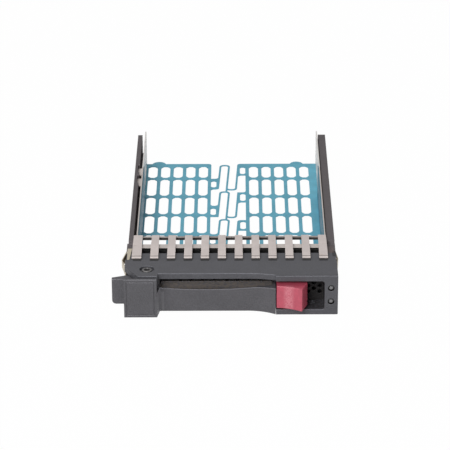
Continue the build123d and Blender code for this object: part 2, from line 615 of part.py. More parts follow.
def arm():
    """Arm of the lever: set-back face, scooped top, and cells open to the rear between its ribs."""
    mid_x = (BLOCK_RIGHT + ARM_RIGHT) / 2
    crown = ThreePointArc((BLOCK_RIGHT, ARM_LEFT_TOP), (mid_x, ARM_MID_TOP), (ARM_RIGHT, ARM_RIGHT_TOP))
    foot = ((ARM_RIGHT, 0), (BLOCK_RIGHT, 0))
    under = Polyline((ARM_RIGHT, ARM_RIGHT_TOP), *foot, (BLOCK_RIGHT, ARM_LEFT_TOP))
    solid = extrude(Plane.XZ * make_face([crown, under]), -ARM_BACK)
    front = swept_front(BLOCK_RIGHT, ARM_RIGHT, ARM_FACE, ARM_END_FACE, -1)
    solid -= plan_prism(front, (0, BEZEL_HEIGHT))
    # Trough along the top, behind a thin front rim
    floor_z = ARM_MID_TOP - ARM_SCOOP
    rim = ARM_FACE + ARM_RIM
    trough = [(rim, BEZEL_HEIGHT), (rim, ARM_MID_TOP), (rim + ARM_WALL, floor_z), (ARM_BACK, floor_z)]
    trough.append((ARM_BACK, BEZEL_HEIGHT))
    solid -= side_prism(trough, (BLOCK_RIGHT + NOTCH_ROUND, ARM_RIGHT - ARM_WALL))
    # Round where the arm's top runs into the block
    round_x = BLOCK_RIGHT + NOTCH_ROUND
    round_z = ARM_LEFT_TOP + NOTCH_ROUND
    fill = block((BLOCK_RIGHT, round_x), (ARM_FACE, ARM_BACK), (ARM_MID_TOP, round_z))
    fill -= rod_y(NOTCH_ROUND, round_x, (0, ARM_BACK), round_z)
    solid += fill
    # Cells between the ribs at the rear
    step = (ARM_RIGHT - BLOCK_RIGHT - ARM_WALL) / ARM_CELLS
    for i in range(ARM_CELLS):
        left = BLOCK_RIGHT + ARM_WALL + i * step
        cell_z = (ARM_WALL, floor_z - ARM_WALL)
        solid -= block((left, left + step - ARM_WALL), (ARM_FACE + ARM_WALL, ARM_BACK), cell_z)
    return solid


def lever_pivot_pin():
    """Hollow pin with a flat head, sunk in the top plate, grooved below for its clip."""
    top = BEZEL_HEIGHT - PIN_SINK
    pin = pivot_rod(PIN_RADIUS, (PIN_SINK, top))
    pin += pivot_rod(PIN_HEAD_RADIUS, (top - PIN_HEAD, top))
    pin = chamfer(pin.edges().filter_by(GeomType.CIRCLE).sort_by(Axis.Z)[-1], PIN_HEAD_BEVEL)
    pin -= pivot_rod(PIN_BORE, (top - PIN_HOLLOW_DEPTH, top))
    clip_z = (CLIP_RECESS - CLIP_THICKNESS, CLIP_RECESS)
    return pin - (pivot_rod(PIN_RADIUS, clip_z) - pivot_rod(PIN_BORE, clip_z))


def pivot_pin_clip():
    """Open ring that snaps into the pin's groove under the ear."""
    z = (CLIP_RECESS - CLIP_THICKNESS, CLIP_RECESS)
    ring = pivot_rod(CLIP_RADIUS, z) - pivot_rod(PIN_BORE, z)
    mouth = block((PIVOT_X - PIN_BORE, PIVOT_X + PIN_BORE), (PIVOT_Y, PIVOT_Y + CLIP_RADIUS), z)
    return ring - mouth


def coil(radius, wire, turns, pitch):
    """Coil of wire about the Z axis, starting on the +X side at height 0."""
    steps = round(turns * COIL_STEPS)
    angles = [2 * pi * i / COIL_STEPS for i in range(steps + 1)]
    points = [(radius * cos(a), radius * sin(a), pitch * a / (2 * pi)) for a in angles]
    path = Polyline(*points)
    section = Plane(origin=path @ 0, x_dir=(1, 0, 0), z_dir=path % 0) * RegularPolygon(wire, 4)
    return sweep(section, path=path, transition=Transition.RIGHT)


def lever_spring():
    """Torsion spring round the hub's lower boss, one leg on the bezel and one behind the block."""
    pitch = 2 * COIL_WIRE + COIL_GAP
    low = EAR_TOP + COIL_WIRE
    high = low + pitch * COIL_TURNS
    body = Pos(PIVOT_X, PIVOT_Y, low) * coil(COIL_RADIUS, COIL_WIRE, COIL_TURNS, pitch)
    body += rod_y(COIL_WIRE, PIVOT_X + COIL_RADIUS, (PIVOT_Y - COIL_LEG, PIVOT_Y + COIL_GAP), low)
    body += rod_y(COIL_WIRE, PIVOT_X - COIL_RADIUS, (PIVOT_Y - COIL_GAP, CAVITY_REAR), high)
    return body


def release_button():
    """Button: hollow-faced cap with a ridge, guide tongues above and below, spring slot behind."""
    left = (BUTTON_LEFT, BUTTON_LEFT_FACE)
    ridge = (BUTTON_RIDGE_X, BUTTON_RIDGE_Y)
    middle = ((left[0] + ridge[0]) / 2, (left[1] + ridge[1]) / 2 + BUTTON_HOLLOW)
    face = ThreePointArc(left, middle, ridge)
    rear = ((BUTTON_RIGHT, BUTTON_BACK), (BUTTON_LEFT, BUTTON_BACK))
    flank = Polyline(ridge, (BUTTON_RIGHT, BUTTON_FLANK), *rear, left)
    cap = plan_prism(make_face([face, flank]), (BUTTON_BOTTOM, BUTTON_TOP))
    front_edges = cap.edges().filter_by(lambda edge: edge.bounding_box().max.Y < TONGUE_FRONT)
    cap = fillet(front_edges, BUTTON_ROUND)
    tongue_x = (BUTTON_LEFT + GUIDE_PLAY, BUTTON_RIGHT - GUIDE_PLAY)
    tongue_z = (BEZEL_FLOOR - TONGUE_DEPTH, CEILING + TONGUE_DEPTH)
    cap += block(tongue_x, (TONGUE_FRONT, TONGUE_BACK), tongue_z)
    return cap - block(SPRING_SLOT, (SPRING_SLOT_FRONT, BUTTON_BACK), SPRING_SLOT_Z)


def button_spring():
    """Return spring between the button's slot and the bezel's post."""
    start = SPRING_SLOT[0] + BUTTON_SPRING_WIRE + BUTTON_SPRING_PLAY
    end = POST_LEFT - BUTTON_SPRING_WIRE - BUTTON_SPRING_PLAY
    pitch = (end - start) / BUTTON_SPRING_TURNS
    body = coil(BUTTON_SPRING_RADIUS, BUTTON_SPRING_WIRE, BUTTON_SPRING_TURNS, pitch)
    mid_y = (SPRING_SLOT_FRONT + BUTTON_BACK) / 2
    mid_z = (SPRING_SLOT_Z[0] + SPRING_SLOT_Z[1]) / 2
    return Pos(start, mid_y, mid_z) * Rot(0, 90, 0) * body


def drive_holes(side, radius, x):
    """Two rods across a side wall at the drive's screw places."""
    places = [rod_x(radius, (side * x[0], side * x[1]), y, DRIVE_HOLES_Z) for y in DRIVE_HOLES_Y]
    return places[0] + places[1]


def steel_frame():
    """Folded steel: two side walls with front flanges, deck with windows, floor tie and tabs."""
    outline = [(BEZEL_DEPTH, 0), (WALL_REAR, 0), (WALL_REAR, FRAME_TOP), (DECK_REAR, FRAME_TOP)]
    outline += [(DECK_REAR, DECK_TOP), (DECK_FRONT, DECK_TOP)]
    outline += [(DECK_FRONT, FLANGE_TOP), (BEZEL_DEPTH, FLANGE_TOP)]
    deck_z = (DECK_TOP - STEEL, DECK_TOP)
    frame = block((-WALL_IN, WALL_IN), (DECK_FRONT, DECK_REAR), deck_z)
    lip_z = (DECK_TOP - DECK_LIP, DECK_TOP)
    frame += block((-WALL_IN, WALL_IN), (DECK_REAR - STEEL, DECK_REAR), lip_z)
    frame += block((-WALL_IN, WALL_IN), (BEZEL_DEPTH, TIE_REAR), (0, FILM_FLOOR))
    for left, right in zip(FINGER_X[:-1], FINGER_X[1:]):
        window = (left + WINDOW_STRIP / 2, right - WINDOW_STRIP / 2)
        frame -= block(window, (BAR_REAR, DECK_REAR - STEEL), deck_z)
    for side in (-1, 1):
        wall = side_prism(outline, (side * WALL_IN, side * WALL_OUT))
        wall = fillet(wall.edges().filter_by(Axis.X).group_by(Axis.Y)[-1], WALL_END_ROUND)
        wall += front_flange(side)
        wall += rest_tabs(side)
        wall -= drive_holes(side, DRIVE_HOLE_RADIUS, (WALL_IN, WALL_OUT))
        for y in RIVET_Y:
            wall -= shank_x(RIVET_RADIUS, (side * WALL_IN, side * WALL_OUT), y, RIVET_Z)
        frame += wall
    for tab_y in RAIL_TABS:
        frame += block((-RAIL_TAB_REACH, -WALL_OUT), tab_y, (RAIL_TAB_Z, RAIL_TAB_Z + STEEL))
    return frame


def front_flange(side):
    """Flange turned in at the front of a side wall, which the bezel screws to."""
    x = (side * FLANGE_INNER, side * WALL_OUT)
    y = (BEZEL_DEPTH, BEZEL_DEPTH + STEEL)
    flange = block(x, y, (FLANGE_BOTTOM, FLANGE_TOP))
    return flange - rod_y(SCREW_RADIUS + SCREW_SHEET_PLAY, side * SCREW_X, y, SCREW_Z)


def rest_tabs(side):
    """Small tabs at the foot of a wall, which the film's border rests on."""
    tabs = []
    for row in range(1, CELL_ROWS):
        y = cell_row(row)[1] + CELL_WEB / 2
        x = (side * (WALL_IN - REST_TAB_WIDTH), side * WALL_OUT)
        tabs.append(block(x, (y - REST_TAB_LENGTH / 2, y + REST_TAB_LENGTH / 2), (0, FILM_FLOOR)))
    return tabs


def finger_strip():
    """Spring fingers folded over the deck's rear lip, bowed over the ledge, with bent-down tips."""
    half = SPRING_STEEL / 2
    points = [(DECK_REAR + half, DECK_TOP - DECK_LIP), (DECK_REAR + half, LEDGE_TOP + FINGER_ROOT_RISE)]
    points.append((FINGER_CREST, LEDGE_TOP + FINGER_CREST_RISE))
    points.append((LEDGE_START + FINGER_FOLD_BEHIND, LEDGE_TOP + FINGER_FOLD_RISE))
    points.append((LEDGE_START + FINGER_TIP_BEHIND, LEDGE_TOP + FINGER_TIP_RISE))
    section = Plane.YZ.offset(-HALF) * trace(Polyline(*points), SPRING_STEEL)
    sheet = extrude(section, 2 * HALF)
    shapes = []
    taper = (FINGER_FRONT_WIDTH - FINGER_REAR_WIDTH) / 2
    rear_y = DECK_REAR + SPRING_STEEL
    for i, x in enumerate(FINGER_X):
        left = x - FINGER_FRONT_WIDTH / 2 - (LEFT_END_EXTRA if i == 0 else 0)
        right = x + FINGER_FRONT_WIDTH / 2 + (RIGHT_END_EXTRA if i == FINGERS - 1 else 0)
        front = ((left, LEDGE_START), (right, LEDGE_START))
        shapes.append(polygon(*front, (right - taper, rear_y), (left + taper, rear_y)))
    fingers = extrude(Sketch(children=shapes), BEZEL_HEIGHT + DECK_LIP)
    root_z = (DECK_TOP - DECK_LIP, DECK_TOP + ROOT_RISE)
    root = block((-WALL_IN, WALL_IN), (DECK_REAR, DECK_REAR + SPRING_STEEL), root_z)
    strip = (sheet & fingers) + root
    for side in (-1, 1):
        beyond = (side * WALL_IN, side * HALF)
        strip -= block(beyond, (DECK_REAR, rear_y), (0, FRAME_TOP + FINGER_WALL_GAP))
    return strip


def side_spring_seat(side):
    """Room for a side spring's flush parts: plate, arm and edge strip."""
    seat = side_spring_plate(side) + side_spring_arm(side)
    return seat + side_spring_edge() if side < 0 else seat


def side_spring_plate(side):
    """Flat plate of a side spring, flush with the bezel's side."""
    return block((side * (HALF - SPRING_STEEL), side * HALF), SIDE_SPRING_PLATE, SIDE_SPRING_Z)


def side_spring_arm(side):
    """Narrow arm along the edge of the bezel's top plate, with the strip that joins it to the plate."""
    x = (side * (HALF - SPRING_STEEL), side * HALF)
    front = SIDE_SPRING_PLATE[0] - SPRING_ARM_LENGTH
    low, high = (BEZEL_HEIGHT - drop for drop in SPRING_ARM_DROP)
    neck = (SIDE_SPRING_PLATE[0], SIDE_SPRING_PLATE[0] + SPRING_NECK)
    return block(x, (front, neck[1]), (low, high)) + block(x, neck, (SIDE_SPRING_Z[0], high))


def side_spring_edge():
    """Strip between the left plate and its tab on the ledge."""
    y = tuple(BEZEL_DEPTH + behind for behind in SPRING_TAB_BEHIND)
    return block((-HALF, SPRING_STEEL - HALF), y, (SIDE_SPRING_Z[0], LEDGE_TOP))


def side_spring(side, apex_proud):
    """Contact spring on one side: flush plate, V-shaped leaf that stands proud, and a front arm."""
    apex = (HALF + apex_proud[0], BEZEL_DEPTH + apex_proud[1])
    spring = side_spring_seat(side)
    inner = HALF - SPRING_STEEL
    leaf = [(side * inner, LEAF_REAR), (side * HALF, LEAF_REAR + LEAF_LEAD), (side * apex[0], apex[1])]
    leaf += [(side * HALF, LEAF_FRONT - LEAF_LEAD), (side * inner, LEAF_FRONT)]
    leaf.append((side * (apex[0] - SPRING_STEEL), apex[1]))
    leaf_z = (SIDE_SPRING_Z[0] + LEAF_LEAD, SIDE_SPRING_Z[1] - LEAF_LEAD)
    window = block((side * inner, side * HALF), (LEAF_FRONT + LEAF_SLIT, LEAF_REAR - LEAF_SLIT), leaf_z)
    return spring - window + plan_prism(polygon(*leaf), leaf_z)


def left_side_spring():
    """Left contact spring, with a tapered tab folded over the ledge."""
    front, rear = (BEZEL_DEPTH + behind for behind in SPRING_TAB_BEHIND)
    tips = [(SPRING_TAB_WIDTH[1] - HALF, rear), (SPRING_TAB_WIDTH[0] - HALF, front)]
    tab = plan_prism(polygon((-HALF, front), (-HALF, rear), *tips), (LEDGE_TOP, LEDGE_TOP + SPRING_STEEL))
    return side_spring(-1, LEFT_APEX_PROUD) + tab


def cell_row(row):
    """Front and rear end of a row of cells in the film, counted from the rear."""
    rear = FILM_REAR - REAR_BORDER
    if row > 0:
        rear -= CELL_SHORT + CELL_WEB + (row - 1) * (CELL_LENGTH + CELL_WEB)
    front = rear - (CELL_LENGTH if row > 0 else CELL_SHORT)
    return max(front, FILM_FRONT + FRONT_BORDER), rear


def film_cells(side):
    """Columns and rows of cells with slanted corners in one half of the film."""
    cells = []
    for column in range(CELL_COLUMNS):
        x = FILM_CENTRE + side * (FIRST_COLUMN + column * CELL_PITCH)
        for row in range(CELL_ROWS):
            front, rear = cell_row(row)
            cell = Rectangle(CELL_WIDTH, rear - front)
            cells.append(Pos(x, (front + rear) / 2) * chamfer(cell.vertices(), CELL_CORNER))
    return cells


def hole_face(x0, x1, y0, y1):
    """Hole between the given edges, with slanted corners."""
    hole = Rectangle(x1 - x0, y1 - y0)
    return Pos((x0 + x1) / 2, (y0 + y1) / 2) * chamfer(hole.vertices(), PAD_HOLE_CORNER)


def loop_unit(shift):
    """One bend of the winding spring in the middle of the film, with its two pads."""

    def lean(x, y_from, y_to):
        """X of a leaning leg at y_to, from its X at y_from."""
        return x + LOOP_LEAN * (y_to - y_from)

    top = LOOP_TOP - shift
    bottom = LOOP_BOTTOM - shift
    rear = FILM_REAR - shift
    a_low, a_high = (rear - back for back in PAD_A)
    b_low, b_high = (rear - back for back in PAD_B)
    left_foot = (lean(LOOP_LEFT_X, top, a_high - 1), a_high - 1)
    corners = [(LOOP_LEFT_X, top), (LOOP_MID_X, top), (lean(LOOP_MID_X, top, bottom), bottom)]
    right_x = lean(LOOP_RIGHT_X, b_low, bottom)
    corners += [(right_x, bottom), (lean(right_x, bottom, b_low + 1), b_low + 1)]
    ribbon = trace(FilletPolyline(left_foot, *corners, radius=LOOP_ROUND), LOOP_WIDTH)
    link_ends = [(lean(LOOP_MID_X, top, y), y) for y in (top - LOOP_PERIOD, bottom + LOOP_ROUND)]
    link = trace(Line(*link_ends), LOOP_WIDTH)
    half = LOOP_WIDTH / 2
    a_edge = (lean(LOOP_LEFT_X, top, a_low) + half, lean(LOOP_LEFT_X, top, a_high) + half)
    band = FILM_CENTRE + BAND_LEFT[1] - PAD_OVERLAP
    pad_a = polygon((band, a_low), (a_edge[0], a_low), (a_edge[1], a_high), (band, a_high))
    pad_a -= hole_face(*PAD_A_HOLE, *(rear - back for back in PAD_A_HOLE_BACK))
    band = FILM_CENTRE + BAND_RIGHT[0] + PAD_OVERLAP
    b_top = FILM_REAR if shift == 0 else b_high
    b_edge = (LOOP_RIGHT_X - half, lean(LOOP_RIGHT_X, b_low, b_top) - half)
    pad_b = polygon((b_edge[0], b_low), (band, b_low), (band, b_top), (b_edge[1], b_top))
    pad_b -= hole_face(*PAD_B_HOLE, *(rear - back for back in PAD_B_HOLE_BACK))
    return [ribbon, link, pad_a, pad_b]


def floor_film():
    """Insulating film: two panels of cells, a winding spring between them, flanges and ears."""
    low = FILM_CENTRE + BAND_LEFT[1]
    high = FILM_CENTRE + BAND_RIGHT[0]
    middle = (FILM_FRONT + FILM_REAR) / 2
    length = FILM_REAR - FILM_FRONT
    flat = Pos((low - WALL_IN) / 2, middle) * Rectangle(low + WALL_IN, length)
    flat += Pos((high + WALL_IN) / 2, middle) * Rectangle(WALL_IN - high, length)
    for side in (-1, 1):
        flat -= film_cells(side)
    for unit in range(LOOP_COUNT):
        flat += loop_unit(unit * LOOP_PERIOD)
    border_y = FILM_FRONT + FRONT_BORDER / 2
    flat += Pos((low + high) / 2, border_y) * Rectangle(high - low + 1, FRONT_BORDER)
    flat &= Pos(0, middle) * Rectangle(2 * WALL_IN, length)
    for left, right in (LEFT_EAR, RIGHT_EAR):
        tip = ((left + right) / 2, FILM_REAR + EAR_SAGITTA)
        ear = ThreePointArc((left, FILM_REAR), tip, (right, FILM_REAR))
        flat += make_face([ear, Line((right, FILM_REAR), (left, FILM_REAR))])
    film = plan_prism(flat, (FILM_FLOOR, FILM_TOP))
    for side in (-1, 1):
        x = (side * BAY_HALF, side * WALL_IN)
        flange = block(x, (FILM_FRONT, FILM_REAR - FLANGE_SHORT), (FILM_FLOOR, FLANGE_HEIGHT))
        film += flange - rod_x(FLANGE_HOLE, x, DRIVE_HOLES_Y[0], DRIVE_HOLES_Z)
    return film


def rail(side, inner, outer):
    """Moulded side rail: nose beside the fingers, rivet bosses, screw access."""
    x = (side * inner, side * outer)
    profile = [(RAIL_FRONT, RAIL_BOTTOM), (RAIL_REAR, RAIL_BOTTOM), (RAIL_REAR, RAIL_TOP)]
    profile += [(RAIL_NOSE_REAR, RAIL_TOP), (RAIL_NOSE_REAR - RAIL_NOSE_SLOPE, RAIL_NOSE_TOP)]
    profile.append((RAIL_FRONT, RAIL_NOSE_TOP))
    body = side_prism(profile, x)
    nose = (RAIL_FRONT, SIDE_SPRING_PLATE[1] + 1)
    body += block((side * inner, side * HALF), nose, (RAIL_BOTTOM, RAIL_NOSE_TOP))
    groove = (side * (outer - RAIL_GROOVE_DEPTH), side * outer)
    body -= block(groove, RAIL_GROOVE, RAIL_GROOVE_Z)
    for y in RIVET_Y:
        boss_y = (y - RAIL_BOSS, y + RAIL_BOSS)
        boss_z = (RIVET_Z - RAIL_BOSS, RIVET_Z + RAIL_BOSS)
        body += block((side * WALL_OUT, side * (inner + RAIL_PLAY)), boss_y, boss_z)
        body -= shank_x(RIVET_RADIUS, (side * WALL_OUT, side * outer), y, RIVET_Z)
        sink = (side * (outer - RIVET_HEAD), side * outer)
        body -= rod_x(RIVET_HEAD_RADIUS + RAIL_PLAY, sink, y, RIVET_Z)
    body -= drive_holes(side, SCREW_ACCESS_RADIUS, (inner, outer))
    for y in DRIVE_HOLES_Y:
        mouth = (y - SCREW_ACCESS_RADIUS, y + SCREW_ACCESS_RADIUS)
        body -= block((side * inner, side * outer), mouth, (RAIL_BOTTOM, DRIVE_HOLES_Z))
    return body - side_spring_seat(side)


def left_rail():
    """Left rail, slotted for the frame's tabs and notched above them."""
    body = rail(-1, LEFT_RAIL_INNER, LEFT_RAIL_OUTER)
    for low, high in RAIL_TABS:
        y = (low - TAB_PLAY_Y, high + TAB_PLAY_Y)
        slot_z = (RAIL_TAB_Z - RAIL_PLAY, RAIL_TAB_Z + STEEL + RAIL_PLAY)
        body -= block((-HALF, -LEFT_RAIL_INNER), y, slot_z)
        body -= block((-LEFT_RAIL_INNER - TAB_NOTCH, -LEFT_RAIL_INNER), y, (RAIL_TAB_Z, RAIL_TOP))
    return body


def right_rail():
    """Right rail, with channels along its inner face for the two light pipes."""
    body = rail(1, RIGHT_RAIL_INNER, RIGHT_RAIL_OUTER)
    reach = PIPE_RADIUS + PIPE_PLAY
    x = (WALL_OUT, PIPE_X + reach)
    for z in (PIPE_UPPER_Z, PIPE_LOWER_RUN_Z):
        body -= block(x, (RAIL_FRONT, RAIL_REAR), (z - reach, z + reach))
    bend_z = (PIPE_LOWER_Z - reach, PIPE_LOWER_RUN_Z + reach)
    return body - block(x, (RAIL_FRONT, PIPE_BEND[1] + PIPE_BEND_ROOM), bend_z)


def light_pipe(path):
    """Clear rod along path, from its domed front end to behind the rail."""
    start = path @ 0
    section = Plane(origin=start, z_dir=path % 0) * Circle(PIPE_RADIUS)
    rod = sweep(section, path=path, transition=Transition.RIGHT)
    front = rod.edges().filter_by(GeomType.CIRCLE).sort_by(Axis.Y)[0]
    return fillet(front, PIPE_DOME)


def upper_light_pipe():
    """Light pipe that runs straight through the bezel and the right rail."""
    ends = [(PIPE_X, y, PIPE_UPPER_Z) for y in (PIPE_FRONT, PIPE_REAR)]
    return light_pipe(Line(*ends))


def lower_light_pipe():
    """Light pipe that rises behind the bezel, to clear the drive's screws."""
    points = [(PIPE_X, PIPE_FRONT, PIPE_LOWER_Z), (PIPE_X, PIPE_BEND[0], PIPE_LOWER_Z)]
    points += [(PIPE_X, y, PIPE_LOWER_RUN_Z) for y in (PIPE_BEND[1], PIPE_REAR)]
    return light_pipe(Polyline(*points))


def rail_rivets(side, outer):
    """Three rivets that hold a rail to its wall."""
    rivets = []
    for y in RIVET_Y:
        rivet = shank_x(RIVET_RADIUS, (side * WALL_IN, side * outer), y, RIVET_Z)
        rivet += rod_x(RIVET_HEAD_RADIUS, (side * (outer - RIVET_HEAD), side * outer), y, RIVET_Z)
        rivets.append(rivet)
    return Compound(children=rivets)


def bezel_screws():
    """Two screws that hold the bezel to the frame's front flanges."""
    screws = []
    for side in (-1, 1):
        seat = BEZEL_DEPTH + STEEL
        x = side * SCREW_X
        screw = rod_y(SCREW_RADIUS, x, (BEZEL_DEPTH - SCREW_LENGTH + SCREW_SHEET_PLAY, seat), SCREW_Z)
        head = rod_y(SCREW_HEAD_RADIUS, x, (seat, seat + SCREW_HEAD), SCREW_Z)
        screw += chamfer(head.edges().filter_by(GeomType.CIRCLE).sort_by(Axis.Y)[-1], SCREW_HEAD_BEVEL)
        slot_y = (seat + SCREW_HEAD - SCREW_CROSS_DEPTH, seat + SCREW_HEAD)
        for across, up in (SCREW_CROSS, SCREW_CROSS[::-1]):
            screw -= block((x - across, x + across), slot_y, (SCREW_Z - up, SCREW_Z + up))
        screws.append(screw)
    return Compound(children=screws)


PARTS = {
    "bezel_housing": bezel_housing,
    "vent_screen": vent_screen,
    "release_lever": release_lever,
    "lever_pivot_pin": lever_pivot_pin,
    "pivot_pin_clip": pivot_pin_clip,
    "lever_spring": lever_spring,
    "release_button": release_button,
    "button_spring": button_spring,
    "steel_frame": steel_frame,
    "finger_strip": finger_strip,
    "left_side_spring": left_side_spring,
    "right_side_spring": lambda: side_spring(1, RIGHT_APEX_PROUD),
    "floor_film": floor_film,
    "left_rail": left_rail,
    "right_rail": right_rail,
    "upper_light_pipe": upper_light_pipe,
    "lower_light_pipe": lower_light_pipe,
    "left_rail_rivets": lambda: rail_rivets(-1, LEFT_RAIL_OUTER),
    "right_rail_rivets": lambda: rail_rivets(1, RIGHT_RAIL_OUTER),
    "bezel_screws": bezel_screws,
}

os.makedirs("parts", exist_ok=True)
for name, make in PARTS.items():
    export_step(make(), f"parts/{name}.step")
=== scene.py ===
"""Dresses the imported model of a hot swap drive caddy: finer pieces, finishes, studio and camera."""

import logging
import math
from dataclasses import KW_ONLY, dataclass, field
from enum import Enum

import bmesh
import bpy
from mathutils import Matrix, Vector


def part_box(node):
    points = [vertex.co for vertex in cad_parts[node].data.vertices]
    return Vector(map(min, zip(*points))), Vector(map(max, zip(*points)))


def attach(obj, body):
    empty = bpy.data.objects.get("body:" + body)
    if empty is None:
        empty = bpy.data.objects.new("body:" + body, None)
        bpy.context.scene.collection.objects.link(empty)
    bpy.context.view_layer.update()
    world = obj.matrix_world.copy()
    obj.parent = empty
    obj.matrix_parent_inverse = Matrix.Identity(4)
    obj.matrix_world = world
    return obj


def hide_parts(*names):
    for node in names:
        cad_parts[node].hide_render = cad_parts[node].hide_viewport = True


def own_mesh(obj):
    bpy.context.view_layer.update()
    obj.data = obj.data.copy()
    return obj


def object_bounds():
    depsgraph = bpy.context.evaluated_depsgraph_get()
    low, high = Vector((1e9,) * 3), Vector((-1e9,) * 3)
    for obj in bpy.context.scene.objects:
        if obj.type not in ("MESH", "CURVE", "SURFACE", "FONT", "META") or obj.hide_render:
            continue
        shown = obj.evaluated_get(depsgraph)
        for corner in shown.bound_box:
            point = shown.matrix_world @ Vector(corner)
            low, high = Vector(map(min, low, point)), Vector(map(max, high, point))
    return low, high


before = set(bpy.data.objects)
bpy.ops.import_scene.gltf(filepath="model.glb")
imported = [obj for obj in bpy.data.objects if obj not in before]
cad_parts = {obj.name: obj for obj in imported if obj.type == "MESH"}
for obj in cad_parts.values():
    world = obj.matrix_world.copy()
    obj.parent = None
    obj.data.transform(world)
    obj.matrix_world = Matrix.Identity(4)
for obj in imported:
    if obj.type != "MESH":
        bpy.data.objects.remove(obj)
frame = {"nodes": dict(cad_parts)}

Colour = tuple[float, float, float, float]
Span = tuple[float, float]
Settings = dict[str, object]
Inputs = dict[object, object]

LOG = logging.getLogger("drive_caddy")
CAD_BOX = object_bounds()
MM = 0.001
FINE_MERGE = 0.0001 * MM
COARSE_MERGE = 0.001 * MM
SHARP_ANGLE = math.radians(32)
# Edges that get the painted highlight: their rounded normal turns from the face by EDGE_TURN and faces
# UPPER_FRONT by EDGE_FACING.
UPPER_FRONT = (0.0, -0.71, 0.71)
EDGE_TURN = (0.02, 0.2)
EDGE_FACING = (0.78, 0.96)
EDGE_SAMPLES = 6
NOISE_ROUGHNESS = 0.6
WHITE = (1.0, 1.0, 1.0, 1.0)

# The left edge of the first finger's tip, the tips' width and the fingers' pitch, in millimetres.
TIP_FROM = -36.29
TIP_WIDTH = 3.05
TIP_PITCH = 6.276


class Axis(Enum):
    """Axes of the caddy, by the names that a Separate node gives them."""

    X = "X"
    Y = "Y"
    Z = "Z"


class Direction(Enum):
    """Directions that marks run in on a surface, as scales along X, Y and Z."""

    EVEN = (1.0, 1.0, 1.0)
    ALONG_Y = (1.0, 0.04, 1.0)


class Body(Enum):
    """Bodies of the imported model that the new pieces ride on."""

    CHASSIS = "chassis"
    LEVER = "lever"


class Value:
    """A number that varies over a surface, with the operators that add Math nodes."""

    def __init__(self, nodes: "Nodes", socket: bpy.types.NodeSocket) -> None:
        """Wraps an output socket of a node tree."""
        self.nodes = nodes
        self.socket = socket

    def math(self, operation: str, *terms: object) -> "Value":
        """Adds one Math node.

        Args:
            operation: The Math node's operation.
            *terms: Its inputs, each a value or a number.

        Returns:
            The node's result.
        """
        node = self.nodes.node("ShaderNodeMath", {"operation": operation}, dict(enumerate(terms)))
        return Value(self.nodes, node.outputs[0])

    def __add__(self, other: object) -> "Value":
        """Sum."""
        return self.math("ADD", self, other)

    def __radd__(self, other: object) -> "Value":
        """Sum with the number first."""
        return self.math("ADD", other, self)

    def __sub__(self, other: object) -> "Value":
        """Difference."""
        return self.math("SUBTRACT", self, other)

    def __rsub__(self, other: object) -> "Value":
        """Difference with the number first."""
        return self.math("SUBTRACT", other, self)

    def __mul__(self, other: object) -> "Value":
        """Product."""
        return self.math("MULTIPLY", self, other)

    def __rmul__(self, other: object) -> "Value":
        """Product with the number first."""
        return self.math("MULTIPLY", other, self)

    def fraction(self) -> "Value":
        """What is left of the value after its whole part."""
        return self.math("FRACT", self)

    def most(self, other: "Value") -> "Value":
        """The greater of two values."""
        return self.math("MAXIMUM", self, other)


class Nodes:
    """A node tree that starts empty, and the one method that adds a node to it."""

    def __init__(self, tree: bpy.types.NodeTree) -> None:
        """Empties the tree."""
        self.tree = tree
        self.tree.nodes.clear()

    def node(
        self, kind: str, settings: Settings | None = None, inputs: Inputs | None = None
    ) -> bpy.types.Node:
        """Adds one node.

        Args:
            kind: The node's type.
            settings: Its properties, which are set first.
            inputs: Numbers, colours, sockets or values for its inputs, by name or place.

        Returns:
            The new node.
        """
        made = self.tree.nodes.new(kind)
        for name, setting in (settings or {}).items():
            setattr(made, name, setting)
        for key, value in (inputs or {}).items():
            self.feed(made.inputs[key], value)
        return made

    def feed(self, socket: bpy.types.NodeSocket, value: object) -> None:
        """Fills an input.

        Args:
            socket: The input.
            value: A value or socket to link to it, or a number or colour to set on it.
        """
        if isinstance(value, Value):
            value = value.socket
        if isinstance(value, bpy.types.NodeSocket):
            self.tree.links.new(value, socket)
        else:
            socket.default_value = value

    def rays(self, *kinds: str) -> list[Value]:
        """For each named kind of ray, 1 where a ray is of that kind, else 0."""
        path = self.node("ShaderNodeLightPath")
        return [Value(self, path.outputs[kind]) for kind in kinds]


